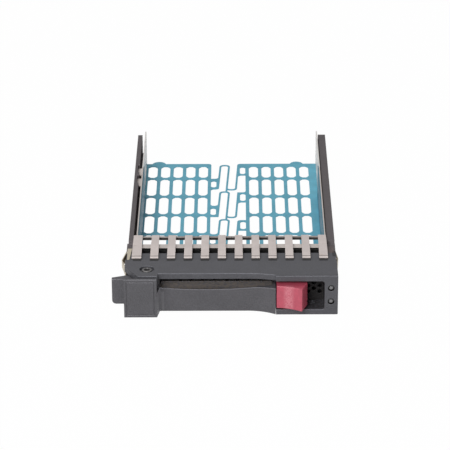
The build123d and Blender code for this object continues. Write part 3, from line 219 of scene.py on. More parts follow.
class Graph(Nodes):
    """The node tree of one material, with a Principled shader at its end."""

    def __init__(self, name: str) -> None:
        """Starts an empty material.

        Args:
            name: The material's name.
        """
        self.material = bpy.data.materials.new(name)
        self.material.use_nodes = True
        super().__init__(self.material.node_tree)
        self.shader = self.node("ShaderNodeBsdfPrincipled")
        self.output = self.node("ShaderNodeOutputMaterial", inputs={"Surface": self.shader.outputs[0]})
        self.place = self.node("ShaderNodeTexCoord").outputs["Object"]

    def set(self, **inputs: object) -> None:
        """Sets the shader's sockets, whose names are written with _ for a space."""
        for name, value in inputs.items():
            self.feed(self.shader.inputs[name.replace("_", " ")], value)

    def noise(self, size: float, detail: float, direction: Direction = Direction.EVEN) -> Value:
        """Noise fixed to the piece.

        Args:
            size: Rough size of one blotch, in millimetres.
            detail: How many finer layers are added.
            direction: The way that the marks run.

        Returns:
            The noise, about 0.5 on average.
        """
        mapping = self.node("ShaderNodeMapping", inputs={"Vector": self.place, "Scale": direction.value})
        inputs = {"Vector": mapping.outputs[0], "Scale": 1 / (size * MM), "Detail": detail}
        inputs["Roughness"] = NOISE_ROUGHNESS
        return Value(self, self.node("ShaderNodeTexNoise", inputs=inputs).outputs["Fac"])

    def ramp(self, value: Value, low: float, high: float) -> Value:
        """Stretches a value smoothly.

        Args:
            value: The value.
            low: What gives 0, with all that is less.
            high: What gives 1, with all that is more.

        Returns:
            The stretched value.
        """
        settings = {"interpolation_type": "SMOOTHSTEP"}
        inputs = {"Value": value, "From Min": low, "From Max": high}
        return Value(self, self.node("ShaderNodeMapRange", settings, inputs).outputs["Result"])

    def mix(self, factor: Value, low: object, high: object) -> bpy.types.NodeSocket:
        """Mixes two colours.

        Args:
            factor: The share of the second colour, from 0 to 1.
            low: The first colour, or a socket that gives it.
            high: The second colour.

        Returns:
            The socket of the mixed colour.
        """
        inputs = {0: factor, 6: low, 7: high}
        return self.node("ShaderNodeMix", {"data_type": "RGBA"}, inputs).outputs[2]

    def place_along(self, axis: Axis) -> Value:
        """The place along one axis of the caddy, in metres."""
        node = self.node("ShaderNodeSeparateXYZ", inputs={0: self.place})
        return Value(self, node.outputs[axis.value])

    def within(self, value: Value, ends: Span, soft: float) -> Value:
        """Marks a stretch of a value.

        Args:
            value: A place, in metres.
            ends: The two ends of the stretch, in millimetres.
            soft: How far it fades beyond each end, in millimetres.

        Returns:
            1 between the ends, and 0 past the fading.
        """
        low, high, fade = ends[0] * MM, ends[1] * MM, soft * MM
        return self.ramp(value, low - fade, low) * (1 - self.ramp(value, high, high + fade))

    def highlighted_edges(self, width: float) -> Value:
        """Finds the edges between a top and a front, where a painted highlight goes.

        Args:
            width: The width of the painted highlight, in millimetres.

        Returns:
            1 along those edges, else 0.
        """
        soft = self.rounded(width)
        flat = self.node("ShaderNodeNewGeometry").outputs["True Normal"]
        turn = self.ramp(1 - self.dot(soft, flat), *EDGE_TURN)
        return turn * self.ramp(self.dot(soft, UPPER_FRONT), *EDGE_FACING)

    def dot(self, first: object, second: object) -> Value:
        """Dot product of two vectors."""
        node = self.node("ShaderNodeVectorMath", {"operation": "DOT_PRODUCT"}, {0: first, 1: second})
        return Value(self, node.outputs["Value"])

    def rounded(self, radius: float) -> bpy.types.NodeSocket:
        """The normal that the surface would have with its edges rounded by a radius, in millimetres."""
        return self.node("ShaderNodeBevel", {"samples": EDGE_SAMPLES}, {"Radius": radius * MM}).outputs[0]

    def relief(self, height: Value, depth: float, rounding: float) -> None:
        """Bumps the surface and softens its edges.

        Args:
            height: The height pattern, from 0 to 1.
            depth: What a height of 1 stands for, in millimetres.
            rounding: Radius that the edges look rounded by, in millimetres.
        """
        inputs = {"Strength": 1.0, "Distance": depth * MM, "Height": height}
        inputs["Normal"] = self.rounded(rounding)
        self.set(Normal=self.node("ShaderNodeBump", inputs=inputs).outputs[0])


def linear(red: int, green: int, blue: int) -> Colour:
    """Turns a display colour into a shader colour, by the usual curve of displays.

    Args:
        red: Its red part, from 0 to 255.
        green: Its green part.
        blue: Its blue part.

    Returns:
        The linear colour, opaque.
    """
    parts = []
    for part in (red, green, blue):
        share = part / 255
        parts.append(share / 12.92 if share <= 0.04045 else ((share + 0.055) / 1.055) ** 2.4)
    return (*parts, 1.0)


def shade(colour: Colour, factor: float) -> Colour:
    """The colour made lighter or darker by a factor."""
    return (*(min(1.0, part * factor) for part in colour[:3]), 1.0)


@dataclass(frozen=True)
class Grain:
    """Noise fixed to a piece, by its size in millimetres and how many finer layers it has."""

    size: float
    detail: float
    direction: Direction = Direction.EVEN

    def spread(self, graph: Graph) -> Value:
        """The noise, about 0.5 on average."""
        return graph.noise(self.size, self.detail, self.direction)


@dataclass(frozen=True)
class Mottle(Grain):
    """Such noise, stretched between two of its levels, so that it has plain and full parts."""

    levels: Span = (0.3, 0.7)

    def spread(self, graph: Graph) -> Value:
        """The stretched noise, from 0 to 1."""
        return graph.ramp(super().spread(graph), *self.levels)


@dataclass(frozen=True)
class Patch:
    """Dust, painted shade or painted light in part of a piece.

    The part is given by its ends along X, Y and Z, in millimetres, as are soft and every. With every,
    the part is repeated along X at that pitch.
    """

    colour: Colour
    x: Span
    y: Span
    z: Span
    _: KW_ONLY
    soft: float = 0.3
    share: float = 0.75
    evenness: float = 0.0
    every: float = 0.0
    blotches: Mottle = Mottle(0.9, 4.0, levels=(0.3, 0.62))

    def cover(self, graph: Graph) -> Value:
        """How much of the surface it covers, blotchy within its part unless evenness is 1.

        Args:
            graph: The graph of the piece's material.

        Returns:
            The share of the patch's colour, from 0 to 1.
        """
        along = graph.place_along(Axis.X)
        if self.every:
            start, pitch = (self.x[0] - self.soft) * MM, self.every * MM
            along = ((along - start) * (1 / pitch)).fraction() * pitch + start
        part = graph.within(along, self.x, self.soft)
        part = part * graph.within(graph.place_along(Axis.Y), self.y, self.soft)
        part = part * graph.within(graph.place_along(Axis.Z), self.z, self.soft)
        return part * (self.blotches.spread(graph) * (1 - self.evenness) + self.evenness) * self.share


@dataclass(frozen=True)
class Ring:
    """Shade round a hole that runs along Y, given by its centre along X and Z, in millimetres."""

    colour: Colour
    centre: Span
    radius: float = 1.2
    soft: float = 0.12
    share: float = 0.9

    def cover(self, graph: Graph) -> Value:
        """How much of the surface it covers, most within its radius.

        Args:
            graph: The graph of the piece's material.

        Returns:
            The share of the ring's colour, from 0 to 1.
        """
        across = graph.place_along(Axis.X) - self.centre[0] * MM
        up = graph.place_along(Axis.Z) - self.centre[1] * MM
        inner, outer = self.radius * MM, (self.radius + self.soft) * MM
        return (1 - graph.ramp(across * across + up * up, inner**2, outer**2)) * self.share


@dataclass(frozen=True)
class Finish:
    """A finish of the caddy, by its name and main colour, with the patches that are laid over it."""

    name: str
    colour: Colour
    _: KW_ONLY
    patches: tuple[Patch | Ring, ...] = ()

    def build(self) -> bpy.types.Material:
        """Makes the material.

        Returns:
            The material, with its node tree filled in.
        """
        graph = Graph(self.name)
        self.paint(graph)
        return graph.material

    def paint(self, graph: Graph) -> None:
        """Sets the sockets of the shader, which each finish does in its own way."""
        raise NotImplementedError

    def toned(self, graph: Graph, factor: Value, shades: Span) -> bpy.types.NodeSocket:
        """Varies the main colour.

        Args:
            graph: The material's graph.
            factor: Where it is dark, at 0, or light, at 1.
            shades: What the dark and the light tone are of the main colour.

        Returns:
            The socket of the varied colour.
        """
        return graph.mix(factor, shade(self.colour, shades[0]), shade(self.colour, shades[1]))

    def patched(self, graph: Graph, colour: bpy.types.NodeSocket) -> bpy.types.NodeSocket:
        """Lays the patches over a colour in their order.

        Args:
            graph: The material's graph.
            colour: The socket of the colour under them.

        Returns:
            The socket of the colour with all of them.
        """
        for patch in self.patches:
            colour = graph.mix(patch.cover(graph), colour, patch.colour)
        return colour


@dataclass(frozen=True)
class MouldedPlastic(Finish):
    """Moulded plastic with a sparkling fine texture, slight wear in its tone, and painted highlights on its
    upper edges.
    """

    roughness: float = 0.5
    shades: Span = (0.78, 1.22)
    tone: Mottle = Mottle(8.0, 4.0)
    tone_share: float = 0.35
    tone_dulling: float = 0.05
    grain: Mottle = Mottle(0.5, 2.0, levels=(0.32, 0.68))
    grain_depth: float = 0.05
    grain_dulling: float = 0.12
    rounding: float = 0.22
    # The painted highlight on the upper front edges: its width (edge), its share and how much lighter it
    # is.
    edge: float = 0.6
    painted_highlight_share: float = 0.8
    painted_highlight_lift: float = 4.0

    def paint(self, graph: Graph) -> None:
        """Sets the mottled colour with its painted edge highlight, its roughness and the grain.

        Args:
            graph: The graph of the finish's material.
        """
        tone = self.tone.spread(graph)
        grain = self.grain.spread(graph)
        blend = tone * self.tone_share + grain * (1 - self.tone_share)
        colour = self.toned(graph, blend, self.shades)
        # Painted highlight: the upper front edges made much lighter.
        painted_edge_highlight = graph.highlighted_edges(self.edge) * self.painted_highlight_share
        colour = graph.mix(painted_edge_highlight, colour, shade(self.colour, self.painted_highlight_lift))
        graph.set(Base_Color=self.patched(graph, colour))
        graph.set(Roughness=self.roughness + grain * self.grain_dulling + tone * self.tone_dulling)
        graph.relief(grain, self.grain_depth, self.rounding)


@dataclass(frozen=True)
class SatinPlastic(Finish):
    """Smoother coloured plastic, faintly streaked where fingers rub it."""

    roughness: float = 0.36
    coat: float = 0.08
    shades: Span = (0.93, 1.08)
    rub: Mottle = Mottle(1.6, 4.0, levels=(0.35, 0.75))
    rub_dulling: float = 0.12
    rub_coat: float = 0.05
    grain: Grain = Grain(0.22, 2.0)
    grain_depth: float = 0.006
    rounding: float = 0.3

    def paint(self, graph: Graph) -> None:
        """Sets the rubbed colour, its sheen and a fine grain.

        Args:
            graph: The graph of the finish's material.
        """
        rub = self.rub.spread(graph)
        graph.set(Base_Color=self.patched(graph, self.toned(graph, rub, self.shades)))
        graph.set(Roughness=self.roughness + rub * self.rub_dulling)
        graph.set(Coat_Weight=self.coat + rub * self.rub_coat)
        graph.relief(self.grain.spread(graph), self.grain_depth, self.rounding)


@dataclass(frozen=True)
class SheetSteel(Finish):
    """Plated sheet steel or steel wire with drawn lines, cloudy tones and a few stains."""

    stain: Colour
    roughness: float = 0.36
    metallic: float = 0.75
    shades: Span = (0.9, 1.06)
    lines: Grain = Grain(0.3, 3.0, Direction.ALONG_Y)
    line_depth: float = 0.004
    line_dulling: float = 0.14
    cloud: Mottle = Mottle(6.0, 4.0, levels=(0.35, 0.7))
    cloud_share: float = 0.6
    stains: Mottle = Mottle(2.5, 5.0, levels=(0.58, 0.78))
    stain_share: float = 0.35
    stain_dulling: float = 0.1
    rounding: float = 0.06

    def paint(self, graph: Graph) -> None:
        """Sets the stained colour, the metal's sheen and the lines.

        Args:
            graph: The graph of the finish's material.
        """
        lines = self.lines.spread(graph)
        blend = self.cloud.spread(graph) * self.cloud_share + lines * (1 - self.cloud_share)
        stains = self.stains.spread(graph)
        colour = graph.mix(stains * self.stain_share, self.toned(graph, blend, self.shades), self.stain)
        graph.set(Base_Color=self.patched(graph, colour), Metallic=self.metallic)
        graph.set(Roughness=self.roughness + lines * self.line_dulling + stains * self.stain_dulling)
        graph.relief(lines, self.line_depth, self.rounding)


@dataclass(frozen=True)
class InsulatingFilm(Finish):
    """Printed polymer film: an even colour with faint clouding and a satin face."""

    roughness: float = 0.42
    shades: Span = (0.9, 1.1)
    cloud: Mottle = Mottle(7.0, 3.0, levels=(0.3, 0.72))
    cloud_share: float = 0.7
    grain: Grain = Grain(0.4, 2.0)
    grain_depth: float = 0.005
    grain_dulling: float = 0.12
    rounding: float = 0.05

    def paint(self, graph: Graph) -> None:
        """Sets the clouded colour, its sheen and a fine grain.

        Args:
            graph: The graph of the finish's material.
        """
        grain = self.grain.spread(graph)
        blend = self.cloud.spread(graph) * self.cloud_share + grain * (1 - self.cloud_share)
        graph.set(Base_Color=self.patched(graph, self.toned(graph, blend, self.shades)))
        graph.set(Roughness=self.roughness + grain * self.grain_dulling)
        graph.relief(grain, self.grain_depth, self.rounding)


@dataclass(frozen=True)
class LightPipe(Finish):
    """Frosted grey light pipe, unlit."""

    roughness: float = 0.25
    coat: float = 0.3
    refraction: float = 1.49
    shades: Span = (0.85, 1.15)
    milk: Grain = Grain(0.8, 3.0)
    milk_depth: float = 0.004
    milk_dulling: float = 0.1
    rounding: float = 0.05

    def paint(self, graph: Graph) -> None:
        """Sets the milky colour and its gloss.

        Args:
            graph: The graph of the finish's material.
        """
        milk = self.milk.spread(graph)
        graph.set(Base_Color=self.toned(graph, milk, self.shades))
        graph.set(Roughness=self.roughness + milk * self.milk_dulling)
        graph.set(Coat_Weight=self.coat, IOR=self.refraction)
        graph.relief(milk, self.milk_depth, self.rounding)


@dataclass(frozen=True)
class Finishes:
    """Every finish of the caddy, with places in millimetres."""

    bezel: MouldedPlastic = MouldedPlastic(
        "bezel_moulding",
        linear(81, 81, 86),
        patches=(
            # Shade inside the light pipes' holes.
            Patch(linear(14, 13, 14), (35.4, 37.9), (0.35, 1.4), (3.9, 11.9), evenness=0.8),
            # Painted shade on the walls of the button's pocket.
            Patch(linear(40, 38, 36), (16.9, 34.5), (1.6, 9.0), (1.9, 13.7), soft=1.2),
            # Painted shadow on the hood in front of the fingers' bar.
            Patch(linear(7, 6, 6), (-36.6, 36.3), (22.0, 25.7), (12.5, 14.62), share=1.0, evenness=1.0),
            # Shade in front of each finger's tip.
            Patch(
                linear(10, 8, 8), (TIP_FROM, TIP_FROM + TIP_WIDTH), (12.9, 14.1), (15.4, 16.0),
                soft=0.12, share=0.9, evenness=1.0, every=TIP_PITCH,
            ),
            # Painted shade in the right rear corner, and on the ledge beside the left side spring.
            Patch(linear(12, 9, 9), (37.9, 39.4), (17.9, 21.5), (12.0, 15.9), soft=0.4, evenness=1.0),
            Patch(linear(30, 24, 22), (-39.4, -38.3), (13.8, 24.0), (12.0, 15.9), evenness=1.0),
            # Line behind the front edge, right of the lever.
            Patch(
                linear(50, 48, 52), (16.6, 39.4), (0.35, 0.85), (15.5, 15.9),
                soft=0.15, share=0.7, evenness=0.7,
            ),
            Ring(linear(8, 8, 9), (36.68, 10.72)),
            Ring(linear(8, 8, 9), (36.68, 5.32)),
        ),
    )
    lever: MouldedPlastic = MouldedPlastic(
        "lever_moulding",
        linear(87, 86, 90),
        patches=(
            # Dust in the arm's hollow grip.
            Patch(linear(112, 103, 95), (-25.9, 15.2), (3.55, 8.2), (6.5, 11.2), share=0.85),
            # Painted light on the corner between the block and the arm, and on the arm's start, lifting
            # their shading.
            Patch(linear(158, 157, 162), (-27.1, -26.15), (-1.8, 3.0), (0.5, 9.4), evenness=1.0, share=0.9),
            Patch(
                linear(116, 115, 119), (-26.1, -25.0), (2.9, 3.3), (0.5, 7.6),
                soft=0.6, share=0.8, evenness=1.0,
            ),
        ),
    )
    rail: MouldedPlastic = MouldedPlastic(
        "rail_moulding",
        linear(90, 84, 86),
        roughness=0.54,
        patches=(
            # Painted shade on the outer side of the right rail's nose, and a lighter brownish top on it.
            Patch(
                linear(10, 8, 8), (38.2, 39.6), (20.0, 26.0), (12.0, 14.0),
                soft=0.6, share=1.0, evenness=1.0,
            ),
            Patch(linear(112, 98, 94), (36.0, 38.3), (21.0, 30.0), (12.0, 14.0), soft=0.8),
            # Painted shadow in the seam between the right rail and its wall.
            Patch(linear(16, 12, 11), (35.5, 36.15), (36.0, 130.0), (12.0, 15.0), soft=0.2, evenness=1.0),
        ),
    )
    button: SatinPlastic = SatinPlastic(
        "button_moulding",
        linear(192, 82, 101),
        patches=(
            # Painted highlight: a pale streak down the hollow of its face.
            Patch(
                linear(226, 150, 160), (20.4, 21.8), (-9.0, -1.5), (4.2, 11.6),
                soft=1.6, share=0.6, blotches=Mottle(0.4, 4.0, levels=(0.3, 0.62)),
            ),
        ),
    )
    screen: MouldedPlastic = MouldedPlastic(
        "screen_coating", linear(38, 36, 37), roughness=0.6, shades=(0.7, 1.3)
    )
    frame: SheetSteel = SheetSteel(
        "frame_steel",
        linear(212, 203, 198),
        linear(150, 128, 108),
        metallic=0.3,
        patches=(
            # Painted light on the rear parts of the walls, made near white.
            Patch(
                linear(246, 243, 240), (-36.0, 36.0), (100.0, 139.0), (0.0, 15.7),
                share=0.8, evenness=0.8,
            ),
            # Painted shade on the front edge of the deck, and on its fold before the fingers.
            Patch(
                linear(12, 9, 9), (-36.6, 36.3), (25.1, 25.45), (13.0, 14.9),
                soft=0.06, share=1.0, evenness=1.0,
            ),
            Patch(
                linear(44, 42, 42), (-36.6, 36.3), (34.5, 34.7), (12.0, 14.95),
                soft=0.06, share=0.9, evenness=1.0,
            ),
        ),
    )
    fingers: SheetSteel = SheetSteel(
        "finger_steel",
        linear(222, 211, 207),
        linear(160, 138, 122),
        roughness=0.44,
        metallic=0.15,
        patches=(
            # Painted shade along the bend before the tips, on the tips' ends, and along the fold over the
            # deck.
            Patch(
                linear(118, 106, 103), (-40.0, 40.0), (16.1, 16.5), (15.0, 16.5),
                soft=0.08, share=0.9, evenness=1.0,
            ),
            Patch(
                linear(26, 20, 20), (-40.0, 40.0), (14.2, 14.72), (15.0, 16.5),
                soft=0.08, share=0.9, evenness=1.0,
            ),
            Patch(
                linear(120, 118, 120), (-40.0, 40.0), (34.9, 35.2), (14.0, 15.4),
                soft=0.06, share=0.8, evenness=1.0,
            ),
        ),
    )
    contact: SheetSteel = SheetSteel(
        "contact_spring_steel", linear(206, 196, 176), linear(140, 112, 84), metallic=0.5
    )
    wire: SheetSteel = SheetSteel(
        "spring_wire", linear(170, 168, 166), linear(120, 110, 100), roughness=0.3
    )
    fastener: SheetSteel = SheetSteel("fastener_steel", linear(178, 176, 174), linear(120, 112, 104))
    pin: SheetSteel = SheetSteel(
        "pivot_pin_steel", linear(118, 116, 116), linear(46, 42, 40), roughness=0.34
    )
    film: InsulatingFilm = InsulatingFilm(
        "teal_film",
        linear(99, 175, 198),
        patches=(
            # Painted shade on both upright flanges.
            Patch(linear(28, 84, 108), (34.7, 35.6), (30.0, 110.0), (1.1, 15.0), evenness=0.7),
            Patch(linear(28, 84, 108), (-35.6, -34.7), (30.0, 110.0), (1.1, 15.0), evenness=0.7),
        ),
    )
    pipe: LightPipe = LightPipe("light_pipe_plastic", linear(128, 128, 130))
    lens: LightPipe = LightPipe("lens_plastic", linear(122, 122, 124))


def linked(obj: bpy.types.Object) -> bpy.types.Object:
    """Puts a new object into the scene and hands it back."""
    bpy.context.scene.collection.objects.link(obj)
    return obj


def placed(name: str, mesh: bmesh.types.BMesh) -> bpy.types.Object:
    """Turns a finished mesh into an object of the scene, at the origin.

    Args:
        name: The object's name.
        mesh: Its mesh, which is freed here.

    Returns:
        The new object.
    """
    data = bpy.data.meshes.new(name)
    mesh.to_mesh(data)
    mesh.free()
    return linked(bpy.data.objects.new(name, data))


def merged_copy(node: str) -> bmesh.types.BMesh:
    """Copies a CAD node's mesh, whose triangles are loose, and joins them.

    Args:
        node: The node's name.

    Returns:
        The joined copy.
    """
    mesh = bmesh.new()
    mesh.from_mesh(frame["nodes"][node].data)
    bmesh.ops.remove_doubles(mesh, verts=mesh.verts, dist=COARSE_MERGE)
    return mesh


def thicken(mesh: bmesh.types.BMesh, shift: tuple[float, float, float]) -> None:
    """Draws out all the faces of a sheet, which gives it its thickness.

    Args:
        mesh: The sheet.
        shift: How far and which way, in metres.
    """
    grown = bmesh.ops.extrude_face_region(mesh, geom=mesh.faces[:])
    moved = [item for item in grown["geom"] if isinstance(item, bmesh.types.BMVert)]
    bmesh.ops.translate(mesh, verts=moved, vec=shift)


def turned(profile: tuple[Span, ...], centre: Vector, axis: Axis, steps: int = 40) -> bmesh.types.BMesh:
    """Makes a turned piece.

    Args:
        profile: Radius and height of each point of its half section, in metres.
        centre: Where height 0 on its axis lies.
        axis: The way that its axis runs, Y or Z.
        steps: Number of facets round it.

    Returns:
        The mesh.
    """
    mesh = bmesh.new()
    points = [mesh.verts.new((radius, 0, height)) for radius, height in profile]
    sides = [mesh.edges.new(pair) for pair in zip(points, points[1:])]
    turn = {"cent": (0, 0, 0), "axis": (0, 0, 1), "angle": math.tau, "steps": steps, "use_merge": True}
    bmesh.ops.spin(mesh, geom=points + sides, **turn)
    bmesh.ops.remove_doubles(mesh, verts=mesh.verts, dist=FINE_MERGE)
    if axis is Axis.Y:
        lay = Matrix.Rotation(-math.pi / 2, 3, "X")
        bmesh.ops.rotate(mesh, verts=mesh.verts, cent=(0, 0, 0), matrix=lay)
    bmesh.ops.translate(mesh, verts=mesh.verts, vec=centre)
    return mesh


def joined(parts: list[bmesh.types.BMesh]) -> bmesh.types.BMesh:
    """Puts several meshes into one.

    Args:
        parts: The meshes, which are freed here.

    Returns:
        One mesh with all of them in it.
    """
    whole = bmesh.new()
    for part in parts:
        data = bpy.data.meshes.new("joining")
        part.to_mesh(data)
        whole.from_mesh(data)
        bpy.data.meshes.remove(data)
        part.free()
    return whole


@dataclass(frozen=True)
class Coil:
    """A helical spring of round wire, which starts at height 0 and winds up round Z."""

    radius: float
    wire: float
    turns: float
    pitch: float
    steps_per_turn: int = 36
    wire_sides: int = 10

    def build(self) -> bmesh.types.BMesh:
        """Turns and lifts a disc of the wire's section along the helix.

        Returns:
            The coil's mesh.
        """
        mesh = bmesh.new()
        upright = Matrix.Translation((self.radius, 0, 0)) @ Matrix.Rotation(math.pi / 2, 4, "X")
        section = {"cap_ends": True, "segments": self.wire_sides, "radius": self.wire}
        bmesh.ops.create_circle(mesh, matrix=upright, **section)
        steps = round(self.steps_per_turn * self.turns)
        turn = {"cent": (0, 0, 0), "axis": (0, 0, 1), "angle": math.tau * self.turns, "steps": steps}
        rise = (0, 0, self.pitch / self.steps_per_turn)
        bmesh.ops.spin(mesh, geom=mesh.verts[:] + mesh.edges[:] + mesh.faces[:], dvec=rise, **turn)
        return mesh


@dataclass
class SubAssembly:
    """A group of pieces that are dressed together."""

    finishes: Finishes
    materials: dict[str, bpy.types.Material]

    def dress(self, obj: bpy.types.Object, finish: Finish) -> None:
        """Gives a piece one finish all over, whose material is made once.

        Args:
            obj: The piece.
            finish: Its finish.
        """
        if finish.name not in self.materials:
            self.materials[finish.name] = finish.build()
        obj.data.materials.clear()
        obj.data.materials.append(self.materials[finish.name])

    def dress_node(self, node: str, finish: Finish) -> None:
        """Gives a carried CAD node one finish all over."""
        self.dress(frame["nodes"][node], finish)
        LOG.info("dressed %s with %s", node, finish.name)

    def add(
        self,
        name: str,
        mesh: bmesh.types.BMesh,
        finish: Finish,
        body: Body,
        *nodes: str,
        smooth: bool = True,
    ) -> bpy.types.Object:
        """Turns a finished mesh into a piece of the caddy.

        Args:
            name: The piece's name.
            mesh: Its mesh, in metres and in place, which is freed here.
            finish: Its finish.
            body: The body that it rides on.
            *nodes: The CAD nodes that it stands for.
            smooth: Whether its faces are shaded smooth, with sharp edges kept.

        Returns:
            The new object.
        """
        bmesh.ops.remove_doubles(mesh, verts=mesh.verts, dist=FINE_MERGE)
        bmesh.ops.recalc_face_normals(mesh, faces=mesh.faces)
        for face in mesh.faces:
            face.smooth = smooth
        for edge in mesh.edges:
            if len(edge.link_faces) == 2 and edge.calc_face_angle(0.0) > SHARP_ANGLE:
                edge.smooth = False
        obj = placed(name, mesh)
        self.dress(obj, finish)
        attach(obj, body.value)
        if nodes:
            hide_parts(*nodes)
        LOG.info("built %s with %d faces", name, len(obj.data.polygons))
        return obj


@dataclass
class Bezel(SubAssembly):
    """Bezel, its perforated screen and its two screws."""

    hole_radius: float = 0.8 * MM
    hole_pitch: float = 2.15 * MM
    hole_inset: float = 1.5 * MM
    row_step: float = 1.2 * MM
    first_row: float = 4.2 * MM
    rows: int = 7
    columns: int = 26
    post_column: int = 3
    ring_segments: int = 24

    def build(self) -> None:
        """Dresses the bezel and builds the screen."""
        self.dress_node("bezel_housing", self.finishes.bezel)
        self.dress_node("bezel_screws", self.finishes.fastener)
        self.screen()

    def screen(self) -> None:
        """Builds the screen from square tiles, each with a round hole, and plain tiles round them.

        The holes of neighbouring columns are staggered, and the column in front of the button's post
        has none.
        """
        low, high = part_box("vent_screen")
        right = high[0] - self.hole_inset + self.hole_pitch / 2
        rows = [self.first_row + row * self.row_step for row in range(self.rows + 1)]
        lines = [low[2], *rows, high[2]]
        mesh = bmesh.new()
        self.strip(mesh, (right, high[0]), lines, range(0))
        for column in range(self.columns):
            edge = right - column * self.hole_pitch
            holes = range(0) if column == self.post_column else range(1 + column % 2, self.rows, 2)
            self.strip(mesh, (edge - self.hole_pitch, edge), lines, holes)
        self.strip(mesh, (low[0], right - self.columns * self.hole_pitch), lines, range(0))
        bmesh.ops.remove_doubles(mesh, verts=mesh.verts, dist=COARSE_MERGE)
        thicken(mesh, (0, high[1] - low[1], 0))
        bmesh.ops.translate(mesh, verts=mesh.verts, vec=(0, low[1], 0))
        self.add("perforated_screen", mesh, self.finishes.screen, Body.CHASSIS, "vent_screen", smooth=False)

    def strip(self, mesh: bmesh.types.BMesh, x: Span, lines: list[float], holes: range) -> None:
        """Adds one upright strip of tiles.

        Args:
            mesh: The mesh that it goes into.
            x: Its two edges.
            lines: Heights of the lines between the tiles.
            holes: The tiles, counted from the bottom, that share a hole with the next one up.
        """
        row = 0
        while row < len(lines) - 1:
            span = 2 if row in holes else 1
            self.tile(mesh, x, (lines[row], lines[row + span]), row in holes)
            row += span

    def tile(self, mesh: bmesh.types.BMesh, x: Span, z: Span, hole: bool) -> None:
        """Adds one upright tile.

        Args:
            mesh: The mesh that it goes into.
            x: Its two edges.
            z: Its bottom and top.
            hole: Whether it has a round hole in its middle.
        """
        middle = Vector(((x[0] + x[1]) / 2, 0, (z[0] + z[1]) / 2))
        half = Matrix.Diagonal(((x[1] - x[0]) / 2, (z[1] - z[0]) / 2, 1, 1))
        upright = Matrix.Translation(middle) @ Matrix.Rotation(math.pi / 2, 4, "X")
        cells = {"x_segments": 1, "y_segments": 2 if hole else 1}
        grid = bmesh.ops.create_grid(mesh, size=1, matrix=upright @ half, **cells)
        if not hole:
            return
        edges = {edge for vert in grid["verts"] for edge in vert.link_edges}
        inner = [edge for edge in edges if len(edge.link_faces) == 2]
        outline = list(edges.difference(inner))
        bmesh.ops.delete(mesh, geom=inner, context="EDGES")
        size = {"segments": self.ring_segments, "radius": self.hole_radius}
        ring = bmesh.ops.create_circle(mesh, matrix=upright, **size)
        circle = list({edge for vert in ring["verts"] for edge in vert.link_edges})
        bmesh.ops.bridge_loops(mesh, edges=outline + circle)


